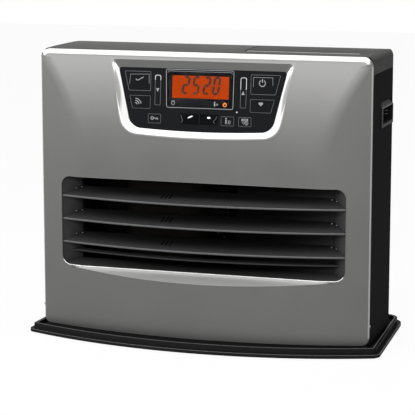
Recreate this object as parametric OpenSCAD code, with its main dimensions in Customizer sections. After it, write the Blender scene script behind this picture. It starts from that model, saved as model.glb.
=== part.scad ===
// Fan-forced paraffin heater, built as an assembly of separate pieces.
// Millimetres, +Z up, the front faces -Y, origin on the floor under the middle of the tray.

/* [Case] */
// Width over the two side panels
case_w = 512; // [500:1:540]
// Depth from the front panel's corner line to the rear face
case_d = 150; // [146:1:170]
// Height of the front top edge above the floor
case_h = 440; // [432:1:470]
// Rise of the top towards its middle
crown = 3; // [1:0.5:5]
// Thickness of the pressed steel sheets
sheet = 1.6; // [1:0.1:2]
// Wall of the moulded plastic covers
wall = 2.5; // [2:0.1:3]
// Radius of the case's shoulders and of the front panel's upper corners
shoulder_r = 13; // [9:1:16]
// Radius of the upright corners at the back
back_r = 6; // [4:1:8]
// Height of the top cover's side skirts
cap_drop = 26; // [22:1:30]

/* [Front panel] */
// How far the front panel bows forwards at its middle
front_bow = 40; // [34:1:46]
// How far the upper front stands ahead of the corner line above the louvres
lean_depth = 19; // [15:1:22]
// How far the upper front stands ahead of the corner line at the top
lean_top = 2; // [1:0.5:4]
// Height of the leaning part of the upper front
lean_h = 170; // [155:1:178]
// Radius of the front panel's top edge
top_edge_r = 8; // [5:1:10]
// Radius of the front panel's lower corners
foot_corner_r = 10; // [6:1:14]
// Depth of the return that meets the side panels
panel_return = 5; // [4:0.5:8]
// Height of the ledge's outer edge under the louvres
ledge_z = 99.5; // [94:0.5:103]
// Rise of the ledge towards the louvres
ledge_rise = 9.5; // [6:0.5:11]

/* [Louvres] */
// Width of the louvre opening
vent_w = 444; // [430:1:452]
// Lower edge of the louvre opening
vent_z0 = 112; // [111:0.5:116]
// Upper edge of the louvre opening
vent_z1 = 249; // [244:0.5:254]
// Corner radius of the louvre opening
vent_r = 15; // [10:1:20]
// Height of the top slat's front edge
slat_z = 218; // [214:0.5:222]
// Distance from slat to slat
slat_pitch = 35.5; // [34:0.5:37]
// Rise of a slat from its front edge to its back edge
slat_rise = 11.5; // [8:0.5:13]
// Thickness of a slat
slat_t = 1.8; // [1.4:0.1:2.4]
// Height of the lip along a slat's front edge
slat_lip = 3; // [2.4:0.1:4]
// Length of the louvre housing's slanted end walls
flare = 24; // [18:1:26]

/* [Control panel] */
// Width of the black fascia at its foot
fascia_foot_w = 219; // [214:1:226]
// Width of the black fascia at its head
fascia_head_w = 261; // [256:1:268]
// Height of the black fascia between its two corner lines
fascia_h = 89; // [87:0.5:93]
// Bow of the fascia's lower edge
fascia_bow = 4; // [3:0.5:6]
// Distance of the fascia's lower corner line below the front's top edge
fascia_drop = 112.5; // [109:0.5:114]
// Lean of the fascia
fascia_lean = 5.7; // [4.5:0.1:6.5]
// Depth of the fascia's foot behind the corner line, negative is ahead of it
fascia_y = -10.2; // [-11:0.1:-9]
// Width of the sloped frame beside the fascia's head
bevel_head = 22.5; // [18:0.5:24]
// Width of the sloped frame beside the fascia's foot
bevel_foot = 10; // [7:0.5:12]
// Height of the sloped frame above the fascia
bevel_top = 34; // [28:1:36]
// Height of the sloped frame below the fascia
bevel_low = 9.5; // [8:0.5:11]
// Thickness of the fascia
fascia_t = 3; // [2.4:0.1:3.6]
// Width of the display's frame at its head
display_w = 106; // [102:1:110]
// Width of the liquid crystal panel
lcd_w = 88; // [84:1:92]
// Height of the liquid crystal panel
lcd_h = 33.5; // [30:0.5:36]
// Sideways shift of the display from the middle
display_shift = -2; // [-4:0.5:0]
// Travel of a button
key_travel = 1; // [0.6:0.1:1]
// Gap round a button
key_gap = 0.35; // [0.25:0.05:0.5]
// Distance between the fascia's back and the control board
board_gap = 8; // [7:0.5:9]

/* [Tray] */
// Width of the tray at its front corners
tray_w = 552; // [546:1:590]
// Width of the tray at its back
tray_back_w = 532; // [524:1:560]
// Depth of the tray from its front bow to its back edge
tray_d = 288; // [280:1:310]
// Bow of the tray's front edge
tray_bow = 55; // [48:1:62]
// Distance from the tray's front bow to the case's corner line
tray_setback = 74; // [68:1:80]
// Height of the tray's rim, on which the case stands level
tray_h = 16; // [14:1:18]
// Height of the tray's floor outside the case
tray_floor = 10; // [9:0.5:11]
// Height of the tray's lower lip
lip_h = 8; // [6:0.5:9]
// Radius of the tray's back corners
tray_back_r = 30; // [20:1:40]
// Radius of the tray's front corners
tray_front_r = 12; // [8:1:16]

/* [Fuel] */
// Width of the tank lid
lid_w = 188; // [180:1:194]
// Distance from the case's corner line to the lid's front edge
lid_front = 28; // [25:1:32]
// Radius of the lid's hinge barrel
hinge_r = 3; // [2.8:0.1:3.4]
// Radius of the lid's hinge pins
pin_r = 1.5; // [1.2:0.1:1.6]
// Room between the removable tank and the front's top edge
tank_room = 21.5; // [20.5:0.5:33]
// Wall of the tank
tank_t = 1; // [0.8:0.1:1.4]
// Height of the fixed fuel sump
sump_h = 50; // [46:1:52]
// Radius of the tank's cap
cap_r = 25; // [22:1:27]

/* [Burner] */
// Radius of the burner pot
pot_r = 34; // [30:1:36]
// Height of the burner pot
pot_h = 50; // [46:1:52]
// Length of the combustion chamber from side to side
chamber_w = 130; // [118:1:140]
// Depth of the combustion chamber
chamber_d = 62; // [54:1:66]
// Height of the combustion chamber
chamber_h = 150; // [130:1:160]
// Wall of the burner's steel parts
burner_t = 1.2; // [1:0.1:1.6]

/* [Fan] */
// Radius of the convection fan
fan_r = 78; // [70:1:82]
// Number of fan blades
fan_blades = 5; // [4:1:7]
// Height of the fan's shaft above the floor
fan_z = 200; // [196:1:206]
// Radius of the fan and blower shafts
shaft_r = 3; // [2.5:0.1:3.5]
// Side of the square fan guard
guard_w = 190; // [184:1:196]
// Depth of the fan guard
guard_d = 20; // [19:0.5:26]
// Thickness of the air filter's frame
filter_t = 3; // [2.4:0.1:3.6]
// Radius of the combustion blower's housing
blower_r = 36; // [32:1:38]

/* [Fits] */
// Radial clearance of a shaft or pin in its bore
run_fit = 0.05; // [0.02:0.01:0.1]
// Gap between neighbouring pieces
gap = 0.3; // [0.2:0.05:0.4]

/* [Hidden] */

$fn = 64;
far = 900;              // longer than anything in the heater
arc_steps = 20;         // steps of half a bowed edge
corner_steps = 6;       // steps of a rounded corner
blade_steps = 12;       // steps of half a louvre blade
half_w = case_w / 2;
front_y = tray_setback - tray_d / 2;   // the case's corner line in the part's own frame

// Front form: an upright bow and a leaning upper front
bow_R = (half_w * half_w + front_bow * front_bow) / (2 * front_bow);
bow_cy = bow_R - front_bow;
lean_z = case_h - lean_h;
lean_span = lean_h - top_edge_r;
lean_fall = lean_depth - lean_top;
lean_R = (lean_span * lean_span + lean_fall * lean_fall) / (2 * lean_fall);
ledge_deg = atan(ledge_rise / (front_bow - lean_depth + 2));

// Seat heights
plinth_z = tray_h;
seam_z = case_h - cap_drop;
fascia_z = case_h - fascia_drop;
fascia_r = 22;              // round of the fascia's lower corners
bevel_h = 8;                // height above the fascia at which the frame has its full mouth
back_up = 5;                // extra depth of material behind the frame's long upper slope
side_front = panel_return + 0.2;
rear_in = case_d - 2 * sheet - gap;

// Fan, burner and duct
duct_x0 = -(vent_w / 2 - flare);
blade_slots = [-59, -52.5, -46];
tray_back_y = -8 + flare;
lid_x1 = half_w - shoulder_r;
lid_x0 = lid_x1 - lid_w;
bulk_x = lid_x0 - 1;
duct_x1 = bulk_x - 4;
burner_x = (duct_x0 + duct_x1) / 2;
duct_floor = 100;
duct_top = 300;
duct_back = 104;
burner_y = (tray_back_y + duct_back) / 2;
fan_front = duct_back + 3;
fan_depth = 20;
hub_r = 17;
blade_deg = 34;
motor_y = fan_front + fan_depth + 3;
motor_r = 24;
guard_y = rear_in + sheet + 0.1;
guard_end = guard_y + guard_d;
rail_w = 5;
rail_d = filter_t + 3;
flange_z = duct_floor + burner_t;
chamber_z = flange_z + 2;
igniter_z = 78;
rod_r = 2.2;

// Side panels and their grips
side_floor = 16;            // width of a side panel's floor flange and back flange
grip_y0 = 64;
grip_y1 = case_d - back_r - 1;
grip_h = 36;
grip_drop = 46;             // distance from the cover's seam down to the grips
grip_z1 = seam_z - grip_drop;
grip_z0 = grip_z1 - grip_h;
grip_deep = 20;

// Cooling slots behind the tank
slot_w = 5;
slot_h = 26;
slot_pitch = 14;
slot_drops = [114, 74];     // distances from the cover's seam down to the two rows

// Tank and lid
crown_y = case_d / 2;
crown_R = (crown_y * crown_y + crown * crown) / (2 * crown);
crown_cz = case_h + crown - crown_R;
hinge_y = case_d - wall - hinge_r - 7.5;
hinge_z = crown_cz + sqrt(crown_R * crown_R - pow(hinge_y - crown_y, 2)) - hinge_r - 0.05;
lid_t = 2.5;
ledge_w = 3;
tank_x0 = lid_x0 + ledge_w + 4;
tank_x1 = lid_x1 - ledge_w - 6;
ear_l = 8;                  // length of an ear that holds a hinge pin
pin_l = 12;
tank_y0 = lid_front + ledge_w + 2;
tank_y1 = hinge_y - hinge_r - 8;
sump_top = plinth_z + 0.2 + sump_h;
tank_z = sump_top + gap;
tank_h = case_h - tank_room - tank_z;
cap_x = (tank_x0 + tank_x1) / 2;
cap_y = (tank_y0 + tank_y1) / 2;
mouth_r = cap_r + 4;
pump_r = 14;
pump_x = duct_x1 - pump_r - 6;
pump_y = duct_back + pump_r + 4;
pipe_r = 2.5;
pipe_z = 84;
pipe_bend = 12;
sump_x0 = pump_x - pump_r - 4;
sump_x1 = lid_x1 - 5;
sump_y0 = tank_y0 - 7;
sump_y1 = pump_y + pump_r;
neck_r = cap_r - 5;
tank_top = tank_z + tank_h;
bulk_y = tray_back_y + burner_t + 3;

// Blower
blower_x = duct_x0 + 2;
blower_y = burner_y;
blower_z = 60;
blower_w = 28;
blower_y0 = blower_y - blower_w / 2;
throat = 40;                // distance from the blower's axis to its outlet
box_z0 = 26;
pot_z = flange_z - pot_h + 1;
box_z1 = pot_z - 4;

// Electrical pieces
bush_x = -half_w + 42;
bush_z = 60;
bush_r = 7.8;
power_w = 56;
power_h = 118;
spacer_h = 8;
board_t = 1.6;
coil_d = 22;

// Control panel layout, in millimetres across and up the fascia from its lower corner line
row_low = [27.5, 48];       // feet and heads of the lower key row
row_high = [54, 84];        // feet and heads of the upper key row
row_small = [6.5, 21.3];    // feet and heads of the small keys
row_set = [7.2, 22.7];      // feet and heads of the two set keys
bar_v = [33.5, 79];         // foot and head of the two long keys
edge_margin = 8.3;          // black border outside the outer keys
left_col = -78.5;           // inner edge of the left key column
right_col = 75;             // inner edge of the right key column
bar_w = 10;
left_bar_x = -72.8;
right_bar_x = 59.6;
lock_x = [-82.5, -61.5];
vent_x = [31, 52];
schedule_x = [58, 78.3];
set_w = 29;
set_gap = 2.5;              // leaves 0.5 between the two keys' hidden flanges
set_middle = -2.6;
frame_v = [30.8, fascia_h - 0.6];
lcd_v = [45.6, 45.6 + lcd_h];
frame_foot_w = display_w - 2;
key_up = 0.5;               // how far a key stands proud of the fascia
stem_r = 2;
board_w = -fascia_t - board_gap;
flange_t = 1.3;
key_back = -fascia_t - gap - flange_t;
switch_top = board_w + 4;
post_r = 2.5;

function fascia_edge(v) =
    (fascia_foot_w + (fascia_head_w - fascia_foot_w) * v / fascia_h) / 2 - edge_margin;

// Four corners of a key, from its left and right edges at foot and head
function key_quad(foot, head, v, g = 0) = [
    [foot[0] - g, v[0] - g], [foot[1] + g, v[0] - g],
    [head[1] + g, v[1] + g], [head[0] - g, v[1] + g]
];
function outer_right(v, g) = key_quad(
    [right_col, fascia_edge(v[0])], [right_col, fascia_edge(v[1])], v, g);
function outer_left(v, g) = key_quad(
    [-fascia_edge(v[0]), left_col], [-fascia_edge(v[1]), left_col], v, g);
function bar_pts(x, g) = key_quad([x, x + bar_w], [x, x + bar_w], bar_v, g);
function small_pts(x, g) = key_quad(x, x, row_small, g);
set_x0 = set_middle - set_w - set_gap / 2;
set_x1 = set_middle + set_gap / 2;
function left_set_pts(g) = key_quad(
    [set_x0 + 2, set_x0 + set_w], [set_x0, set_x0 + set_w], row_set, g);
function right_set_pts(g) = key_quad(
    [set_x1, set_x1 + set_w - 3], [set_x1, set_x1 + set_w], row_set, g);

ALL_KEYS = [
    function (g) outer_right(row_high, g), function (g) outer_right(row_low, g),
    function (g) outer_left(row_high, g), function (g) outer_left(row_low, g),
    function (g) bar_pts(left_bar_x, g), function (g) bar_pts(right_bar_x, g),
    function (g) small_pts(lock_x, g), function (g) small_pts(vent_x, g),
    function (g) small_pts(schedule_x, g), function (g) left_set_pts(g),
    function (g) right_set_pts(g)
];

// Places in the case are measured from its corner line
module in_case() { translate([0, front_y, 0]) children(); }

// Fascia frame: x across, y up the fascia, z out of it towards the front
module on_fascia() {
    in_case() translate([0, fascia_y, fascia_z]) rotate([90 - fascia_lean, 0, 0]) children();
}

module box(lo, hi) { translate(lo) cube(hi - lo); }

// Upright prism over a plan drawn in the x-y plane
module upright(z0, z1) { translate([0, 0, z0]) linear_extrude(z1 - z0) children(); }

// Prism along y over an outline drawn in x and z
module frontwise(y0, y1) {
    translate([0, y1, 0]) rotate([90, 0, 0]) linear_extrude(y1 - y0) children();
}

// Prism along x over an outline drawn in y and z
module sidewise(x0, x1) {
    translate([x0, 0, 0]) rotate([90, 0, 90]) linear_extrude(x1 - x0) children();
}

module rounded_rect(x0, y0, x1, y1, r) {
    translate([x0 + r, y0]) square([x1 - x0 - 2 * r, y1 - y0]);
    translate([x0, y0 + r]) square([x1 - x0, y1 - y0 - 2 * r]);
    for (x = [x0 + r, x1 - r], y = [y0 + r, y1 - r]) translate([x, y]) circle(r);
}

// Outline with one bowed edge at y = 0 and straight tapering sides, all corners round
function dot2(a, b) = a[0] * b[0] + a[1] * b[1];
function arc(c, r, a0, a1, n) = [for (i = [0:n]) let (a = a0 + (a1 - a0) * i / n) c + r * [cos(a), sin(a)]];
function mirrored(pts) = [for (i = [len(pts) - 1:-1:1]) [-pts[i][0], pts[i][1]]];
module bowed_outline(bow_w, flat_w, len, sag, bow_corner, flat_corner, inset = 0) {
    hb = bow_w / 2;
    R0 = (hb * hb + sag * sag) / (2 * sag);
    O = [0, R0 - sag];
    R = R0 - inset;
    side = [flat_w / 2 - hb, len];
    d = side / norm(side);
    n = [d[1], -d[0]];
    A = [hb, 0];
    rb = max(bow_corner - inset, 0.5);
    rf = max(flat_corner - inset, 0.5);
    cf_y = len - inset - rf;
    Cf = [(dot2(A, n) - inset - rf - cf_y * n[1]) / n[0], cf_y];
    kb = dot2(A, n) - inset - rb;
    b = dot2(d, O);
    s = b - sqrt(b * b - (kb * kb - 2 * kb * dot2(n, O) + dot2(O, O) - (R - rb) * (R - rb)));
    Cb = n * kb + d * s;
    turn = atan2(Cb[1] - O[1], Cb[0] - O[0]);
    lean = atan2(n[1], n[0]);
    right = concat(arc(O, R, -90, turn, arc_steps),
                   [for (p = arc(Cb, rb, turn, lean, corner_steps)) if (p != Cb + rb * [cos(turn), sin(turn)]) p],
                   arc(Cf, rf, lean, 90, corner_steps));
    polygon(concat(right, mirrored(right)));
}

module tray_outline(inset) {
    translate([0, -tray_d / 2 + tray_bow])
        bowed_outline(tray_w, tray_back_w, tray_d - tray_bow, tray_bow,
                      tray_front_r, tray_back_r, inset);
}

// Plan of the case's sides and back
module case_plan(inset) {
    r = back_r - inset;
    translate([-half_w + inset, side_front])
        square([case_w - 2 * inset, case_d - inset - r - side_front]);
    translate([-half_w + inset + r, side_front])
        square([case_w - 2 * (inset + r), case_d - inset - side_front]);
    for (m = [1, -1]) translate([m * (half_w - back_r), case_d - back_r]) circle(r);
}

// Solid behind the front panel's surface, drawn in by t
module front_form(t) {
    top = case_h - t;
    intersection() {
        translate([0, bow_cy, 0]) cylinder(h = far, r = bow_R - t, $fn = 360);
        frontwise(-far, far) {
            r = shoulder_r - t;
            f = foot_corner_r - t;
            x = half_w - t;
            z0 = tray_h + t;
            translate([-x + f, z0]) square([2 * (x - f), top - z0]);
            translate([-x, z0 + f]) square([2 * x, top - r - z0 - f]);
            translate([-x + r, top - r - 1]) square([2 * (x - r), r + 1]);
            for (m = [1, -1]) {
                translate([m * (x - f), z0 + f]) circle(f);
                translate([m * (x - r), top - r]) circle(r);
            }
        }
        union() {
            belly_form(t);
            upper_form(t);
        }
    }
}

// Lower front up to the sloping ledge
module belly_form(t) {
    translate([0, -front_bow, ledge_z]) rotate([ledge_deg, 0, 0])
        translate([-far / 2, -far / 2, -far - t]) cube([far, far, far]);
}

// Upper front: upright above the louvres, then leaning back to a round top edge
module upper_form(t) {
    er = top_edge_r - t;
    ey = -lean_top + t + er;
    ez = case_h - t - er;
    intersection() {
        union() {
            box([-far / 2, -lean_depth + t, 0], [far / 2, far, lean_z]);
            intersection() {
                translate([-far / 2, -lean_depth + lean_R, lean_z]) rotate([0, 90, 0])
                    cylinder(h = far, r = lean_R - t, $fn = 360);
                box([-far / 2, -far, lean_z], [far / 2, far, far]);
            }
            box([-far / 2, far / 3, lean_z], [far / 2, far, far]);
        }
        union() {
            box([-far / 2, -far, -far], [far / 2, far, ez]);
            box([-far / 2, ey, -far], [far / 2, far, far]);
            translate([-far / 2, ey, ez]) rotate([0, 90, 0]) cylinder(h = far, r = er);
        }
    }
}

// Sloped frame round the fascia, its mouth wider than its foot
module fascia_outline(grow) {
    bowed_outline(fascia_foot_w, fascia_head_w, fascia_h, fascia_bow, fascia_r, 4, -grow);
}
module bevel_mouth(grow) {
    translate([0, -bevel_low + 1])
        bowed_outline(fascia_foot_w + 2 * bevel_foot - 2, fascia_head_w + 2 * bevel_head,
                      fascia_h + bevel_low + bevel_top - 1, fascia_bow + 1, fascia_r + 6, 3, -grow);
}
module bevel_solid(grow, z0) {
    hull() {
        translate([0, 0, z0]) linear_extrude(0.01) fascia_outline(grow);
        translate([0, 0, bevel_h]) linear_extrude(0.01) bevel_mouth(grow);
        if (grow > 0) translate([-fascia_head_w / 2, fascia_h + bevel_top, bevel_h - back_up])
            cube([fascia_head_w, 0.01, 0.01]);
    }
}

module front_panel() {
    color([0.62, 0.63, 0.62]) {
        difference() {
            in_case() intersection() {
                difference() {
                    front_form(0);
                    front_form(sheet);
                }
                box([-far / 2, -far, 0], [far / 2, panel_return, far]);
            }
            in_case() frontwise(-far, 0) rounded_rect(
                -vent_w / 2, vent_z0, vent_w / 2, vent_z1, vent_r);
            on_fascia() bevel_solid(0, -0.01);
            in_case() front_screw_places() cylinder(h = 3 * sheet, r = 1.6, center = true);
        }
        intersection() {
            on_fascia() difference() {
                bevel_solid(sheet, 0);
                bevel_solid(0, -0.01);
            }
            in_case() front_form(0);
        }
    }
}

module side_panel(m) {
    color([0.13, 0.13, 0.13]) in_case() difference() {
        intersection() {
            union() {
                upright(plinth_z, seam_z - 0.2) difference() {
                    case_plan(0);
                    case_plan(sheet);
                }
                upright(plinth_z, plinth_z + sheet) case_plan(0);
            }
            scale_x(m) box([half_w - side_floor, side_front, 0], [far, case_d, far]);
        }
        grip_place(m) grip_block(gap);
        rear_screw_places() cylinder(h = 3 * sheet, r = 1.7, center = true);
    }
}
module left_side_panel() { side_panel(-1); }
module right_side_panel() { side_panel(1); }

// Carrying grips set into the side panels
module grip_place(m) { scale_x(m) translate([half_w, 0, 0]) children(); }
module scale_x(m) { if (m < 0) mirror([1, 0, 0]) children(); else children(); }
module grip_block(g) {
    box([-grip_deep, grip_y0 - g, grip_z0 - g], [5, grip_y1 + g, grip_z1 + g]);
}
module grip(m) {
    lip = 2.5;
    color([0.2, 0.2, 0.2]) in_case() grip_place(m) difference() {
        union() {
            box([-grip_deep, grip_y0, grip_z0], [0.6, grip_y1, grip_z1]);
            box([0.05, grip_y0 - 2, grip_z0 - 2], [1.4, grip_y1 + 1, grip_z1 + 2]);
        }
        box([-grip_deep + lip, grip_y0 + 7, grip_z0 + 3], [5, grip_y1 - 3, grip_z1 - 9]);
        translate([0.6, 0, grip_z1 - 9]) rotate([0, -30, 0])
            box([0, grip_y0 - 3, -0.1], [20, grip_y1 + 3, 16]);
    }
}
module left_grip() { grip(-1); }
module right_grip() { grip(1); }

// Solid under the crowned top, drawn in by t
module cap_form(t) {
    intersection() {
        translate([-far / 2, crown_y, crown_cz]) rotate([0, 90, 0])
            cylinder(h = far, r = crown_R - t, $fn = 360);
        frontwise(-far, far) {
            r = shoulder_r + crown / 2 - t;
            top = case_h + crown - t;
            x = half_w - t;
            translate([-x, 0]) square([2 * x, top - r]);
            translate([-x + r, 0]) square([2 * (x - r), top]);
            for (m = [1, -1]) translate([m * (x - r), top - r]) circle(r);
        }
        upright(0, far) case_plan(t);
    }
}

module lid_window(x_in, y0, y1) {
    box([lid_x0 + x_in, y0, seam_z], [lid_x1 - x_in, y1, far]);
}

module top_cover() {
    color([0.3, 0.3, 0.29]) in_case() difference() {
        union() {
            intersection() {
                difference() {
                    cap_form(0);
                    intersection() {
                        cap_form(wall);
                        box([-far, side_front + wall, 0], [far, far, far]);
                    }
                }
                box([-far, side_front, seam_z], [far, far, far]);
            }
            intersection() {
                difference() {
                    cap_form(lid_t + 0.2);
                    cap_form(lid_t + 0.2 + 2);
                    lid_window(ledge_w, lid_front + ledge_w, hinge_y);
                }
                lid_window(-1, lid_front - 1, hinge_y - hinge_r - 1);
            }
            for (x = [lid_x0 - ear_l, lid_x1])
                intersection() {
                    box([x, hinge_y - 5, hinge_z - 5], [x + ear_l, hinge_y + 5, far]);
                    cap_form(0.1);
                }
        }
        intersection() {
            difference() {
                lid_window(-gap, lid_front - gap, hinge_y + hinge_r + 1.2);
                cap_form(lid_t + 0.2);
            }
            lid_window(-gap, lid_front - gap, hinge_y);
        }
        lid_window(-gap, hinge_y - hinge_r - 0.9, hinge_y + hinge_r + 1.2);
        hinge_bores();
    }
}

// Bores for the two hinge pins, half in the cover's ears and half in the lid's barrel
module hinge_bores() {
    for (x = [lid_x0, lid_x1]) translate([x, hinge_y, hinge_z]) rotate([0, 90, 0])
        cylinder(h = pin_l + 2 * run_fit, r = pin_r + run_fit, center = true);
}

module tank_lid() {
    color([0.27, 0.27, 0.26]) in_case() difference() {
        union() {
            intersection() {
                difference() {
                    cap_form(0);
                    cap_form(lid_t);
                }
                lid_window(gap, lid_front + gap, hinge_y);
            }
            translate([lid_x0 + gap, hinge_y, hinge_z]) rotate([0, 90, 0])
                cylinder(h = lid_w - 2 * gap, r = hinge_r);
        }
        hinge_bores();
    }
}

module lid_hinge_pins() {
    color([0.7, 0.7, 0.72]) in_case() for (x = [lid_x0, lid_x1])
        translate([x, hinge_y, hinge_z]) rotate([0, 90, 0])
            cylinder(h = pin_l, r = pin_r, center = true);
}

module rear_panel() {
    color([0.18, 0.18, 0.18]) in_case() difference() {
        union() {
            box([-half_w + back_r, rear_in, plinth_z + sheet + gap],
                [half_w - back_r, rear_in + sheet, seam_z - 0.4]);
            translate([burner_x, rear_in, fan_z]) rotate([90, 0, 0])
                cylinder(h = rear_in - fan_front + 1, r = fan_r + 7.5);
        }
        translate([burner_x, case_d, fan_z]) rotate([90, 0, 0])
            cylinder(h = 6 * fan_depth, r = fan_r + 6, center = true);
        for (x = [lid_x0 + 35:slot_pitch:lid_x1 - 30], drop = slot_drops)
            box([x, 0, seam_z - drop], [x + slot_w, far, seam_z - drop + slot_h]);
        translate([bush_x, case_d, bush_z]) rotate([90, 0, 0])
            cylinder(h = 20, r = bush_r + 0.2, center = true);
        rear_screw_places() cylinder(h = 20, r = 1.6, center = true);
        bracket_screws() cylinder(h = 20, r = 1.6, center = true);
    }
}

module rear_screw_places() {
    for (m = [1, -1], z = [60, seam_z - 34])
        translate([m * (half_w - 9), case_d, z]) rotate([90, 0, 0]) children();
}
module front_screw_places() {
    for (m = [1, -1]) translate([m * half_w, 2.6, 44.5]) rotate([0, m * 90, 0]) children();
}
module bracket_screws() {
    for (a = [45:90:315]) translate([burner_x, rear_in, fan_z]) rotate([0, a, 0])
        translate([fan_r + 12, 0, 0]) rotate([90, 0, 0]) children();
}

module screw(head_r, len) {
    cylinder(h = len, r = 1.5);
    translate([0, 0, len]) difference() {
        cylinder(h = 1.4, r = head_r);
        box([-head_r * 0.7, -0.4, 0.7], [head_r * 0.7, 0.4, 3]);
        box([-0.4, -head_r * 0.7, 0.7], [0.4, head_r * 0.7, 3]);
    }
}

module case_screws() {
    color([0.5, 0.5, 0.5]) in_case() {
        rear_screw_places() rotate([180, 0, 0]) translate([0, 0, -6]) screw(3.4, 6);
        bracket_screws() rotate([180, 0, 0]) translate([0, 0, sheet - 3.4]) screw(3, 5);
        front_screw_places() translate([0, 0, -4]) screw(2.4, 4);
    }
}

// Control panel
module display_pts(g) {
    polygon(key_quad(
        [display_shift - frame_foot_w / 2, display_shift + frame_foot_w / 2],
        [display_shift - 1 - display_w / 2, display_shift - 1 + display_w / 2], frame_v, g));
}
module lcd_pts(g) {
    translate([display_shift - lcd_w / 2 - g, lcd_v[0] - g]) square([lcd_w + 2 * g, lcd_v[1] - lcd_v[0] + 2 * g]);
}
module layer(w0, w1) { translate([0, 0, w0]) linear_extrude(w1 - w0) children(); }

module board_posts() {
    for (p = [[-98, 12], [98, 12], [-68, 84], [66, 84]]) translate(p) circle(post_r);
}

module control_fascia() {
    color([0.08, 0.08, 0.09]) on_fascia() {
        layer(-fascia_t, 0) difference() {
            fascia_outline(1.5);
            for (pts = ALL_KEYS) polygon(pts(0));
            display_pts(0);
        }
        layer(board_w, -fascia_t) board_posts();
    }
}

module lcd_frame() {
    color([0.12, 0.13, 0.14]) on_fascia() difference() {
        union() {
            layer(-fascia_t - gap - 0.1, 0.7) display_pts(-gap);
            layer(-fascia_t - gap - 1.4, -fascia_t - 0.1) display_pts(1.2);
        }
        layer(-0.6, 2) display_pts(-2);
        layer(-20, 2) lcd_pts(0);
    }
}
module lcd_display() {
    color([0.85, 0.33, 0.05]) on_fascia()
        layer(-fascia_t - gap - 1.4, -1.2) lcd_pts(-0.2);
}
module lcd_window() {
    color([0.1, 0.12, 0.14, 0.5]) on_fascia() layer(-0.5, 0.3) display_pts(-2 - 0.15);
}

function middle(p) = (p[0] + p[1] + p[2] + p[3]) / 4;
module key(pts) {
    color([0.1, 0.1, 0.11]) on_fascia() {
        layer(key_back + flange_t, key_up) polygon(pts(-key_gap));
        layer(key_back, key_back + flange_t) polygon(pts(1));
        translate(middle(pts(0))) layer(switch_top + key_travel + 0.1, key_back) circle(stem_r);
    }
}
module power_button() { key(ALL_KEYS[0]); }
module comfort_button() { key(ALL_KEYS[1]); }
module check_button() { key(ALL_KEYS[2]); }
module timer_button() { key(ALL_KEYS[3]); }
module down_button() { key(ALL_KEYS[4]); }
module up_button() { key(ALL_KEYS[5]); }
module lock_button() { key(ALL_KEYS[6]); }
module vent_button() { key(ALL_KEYS[7]); }
module schedule_button() { key(ALL_KEYS[8]); }
module left_set_button() { key(ALL_KEYS[9]); }
module right_set_button() { key(ALL_KEYS[10]); }

module control_board() {
    color([0.1, 0.35, 0.2]) on_fascia() {
        layer(board_w - board_t, board_w) fascia_outline(-4);
        for (pts = ALL_KEYS) translate(middle(pts(0)) - [3, 3]) layer(board_w, switch_top) square(6);
        layer(board_w - 9, board_w - board_t) for (x = [-70, 20]) translate([x, 40]) square([30, 20]);
    }
}

// Louvres and the duct behind them
function floor_at(y) = vent_z0 - 0.5 + 0.2 * (y + lean_depth - sheet);
function roof_at(y) = vent_z1 + 1.5 - 0.05 * (y + lean_depth - sheet);
module flare_plan(t) {
    s = t * sqrt(2);
    y0 = -8 - 60;
    polygon([
        [-vent_w / 2 - 60 - s, y0], [vent_w / 2 + 60 + s, y0],
        [vent_w / 2 - flare + s - t, tray_back_y + t],
        [-vent_w / 2 + flare - s + t, tray_back_y + t]
    ]);
}
module duct_form(t) {
    intersection() {
        upright(0, far) flare_plan(t);
        sidewise(-far / 2, far / 2) polygon([
            [-80, floor_at(-80) - t], [tray_back_y + t, floor_at(tray_back_y) - t],
            [tray_back_y + t, roof_at(tray_back_y) + t], [-80, roof_at(-80) + t]
        ]);
    }
    box([duct_x0 - t, tray_back_y - t, duct_floor + burner_t - t],
        [duct_x1 + t, t > 0 ? duct_back : far, duct_top - burner_t + t]);
}
module outlet_duct() {
    color([0.16, 0.16, 0.17]) in_case() difference() {
        intersection() {
            difference() {
                duct_form(burner_t);
                duct_form(0);
            }
            front_form(sheet + gap);
        }
        translate([burner_x, burner_y, 0]) cylinder(h = duct_floor + 5, r = pot_r + 0.5);
    }
}

// Louvre blade: a bowed front lip, a straight rear edge and ends along the housing's flared walls
function blade_ring(share, z) =
    let (r = bow_R - 2,
         rear_y = tray_back_y - 1,
         front_x = share * (vent_w / 2 - 1),
         rear_x = share * (vent_w / 2 + tray_back_y - flare - rear_y - gap * sqrt(2)),
         front = [front_x, bow_cy - sqrt(r * r - front_x * front_x)],
         depth = norm([rear_x, rear_y] - front),
         way = ([rear_x, rear_y] - front) / depth,
         outline = [
             [0, -slat_lip / 2], [0, slat_lip / 2], [slat_t, slat_lip / 2 + 0.4],
             [depth, slat_rise + slat_t / 2], [depth, slat_rise - slat_t / 2],
             [slat_t, -slat_t / 2], [slat_t, -slat_lip / 2]
         ])
    [for (p = outline) [front[0] + way[0] * p[0], front[1] + way[1] * p[0], z + p[1]]];

module blade(z) {
    n = 2 * blade_steps;
    k = 7;
    polyhedron(
        points = [for (i = [0:n]) each blade_ring(i / blade_steps - 1, z)],
        faces = concat(
            [[for (q = [k - 1:-1:0]) q], [for (q = [0:k - 1]) n * k + q]],
            [for (i = [0:n - 1], q = [0:k - 1]) [i * k + q, i * k + (q + 1) % k, (i + 1) * k + (q + 1) % k]],
            [for (i = [0:n - 1], q = [0:k - 1]) [i * k + q, (i + 1) * k + (q + 1) % k, (i + 1) * k + q]]
        ));
}
module louvre(k) {
    z = slat_z - k * slat_pitch;
    color([0.22, 0.22, 0.23]) in_case() difference() {
        blade(z);
        for (x = blade_slots) box([x - 1.5, -20, z - 10], [x + 1.5, 2, z + 20]);
    }
}
module upper_slat() { louvre(0); }
module middle_slat() { louvre(1); }
module lower_slat() { louvre(2); }

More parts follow.
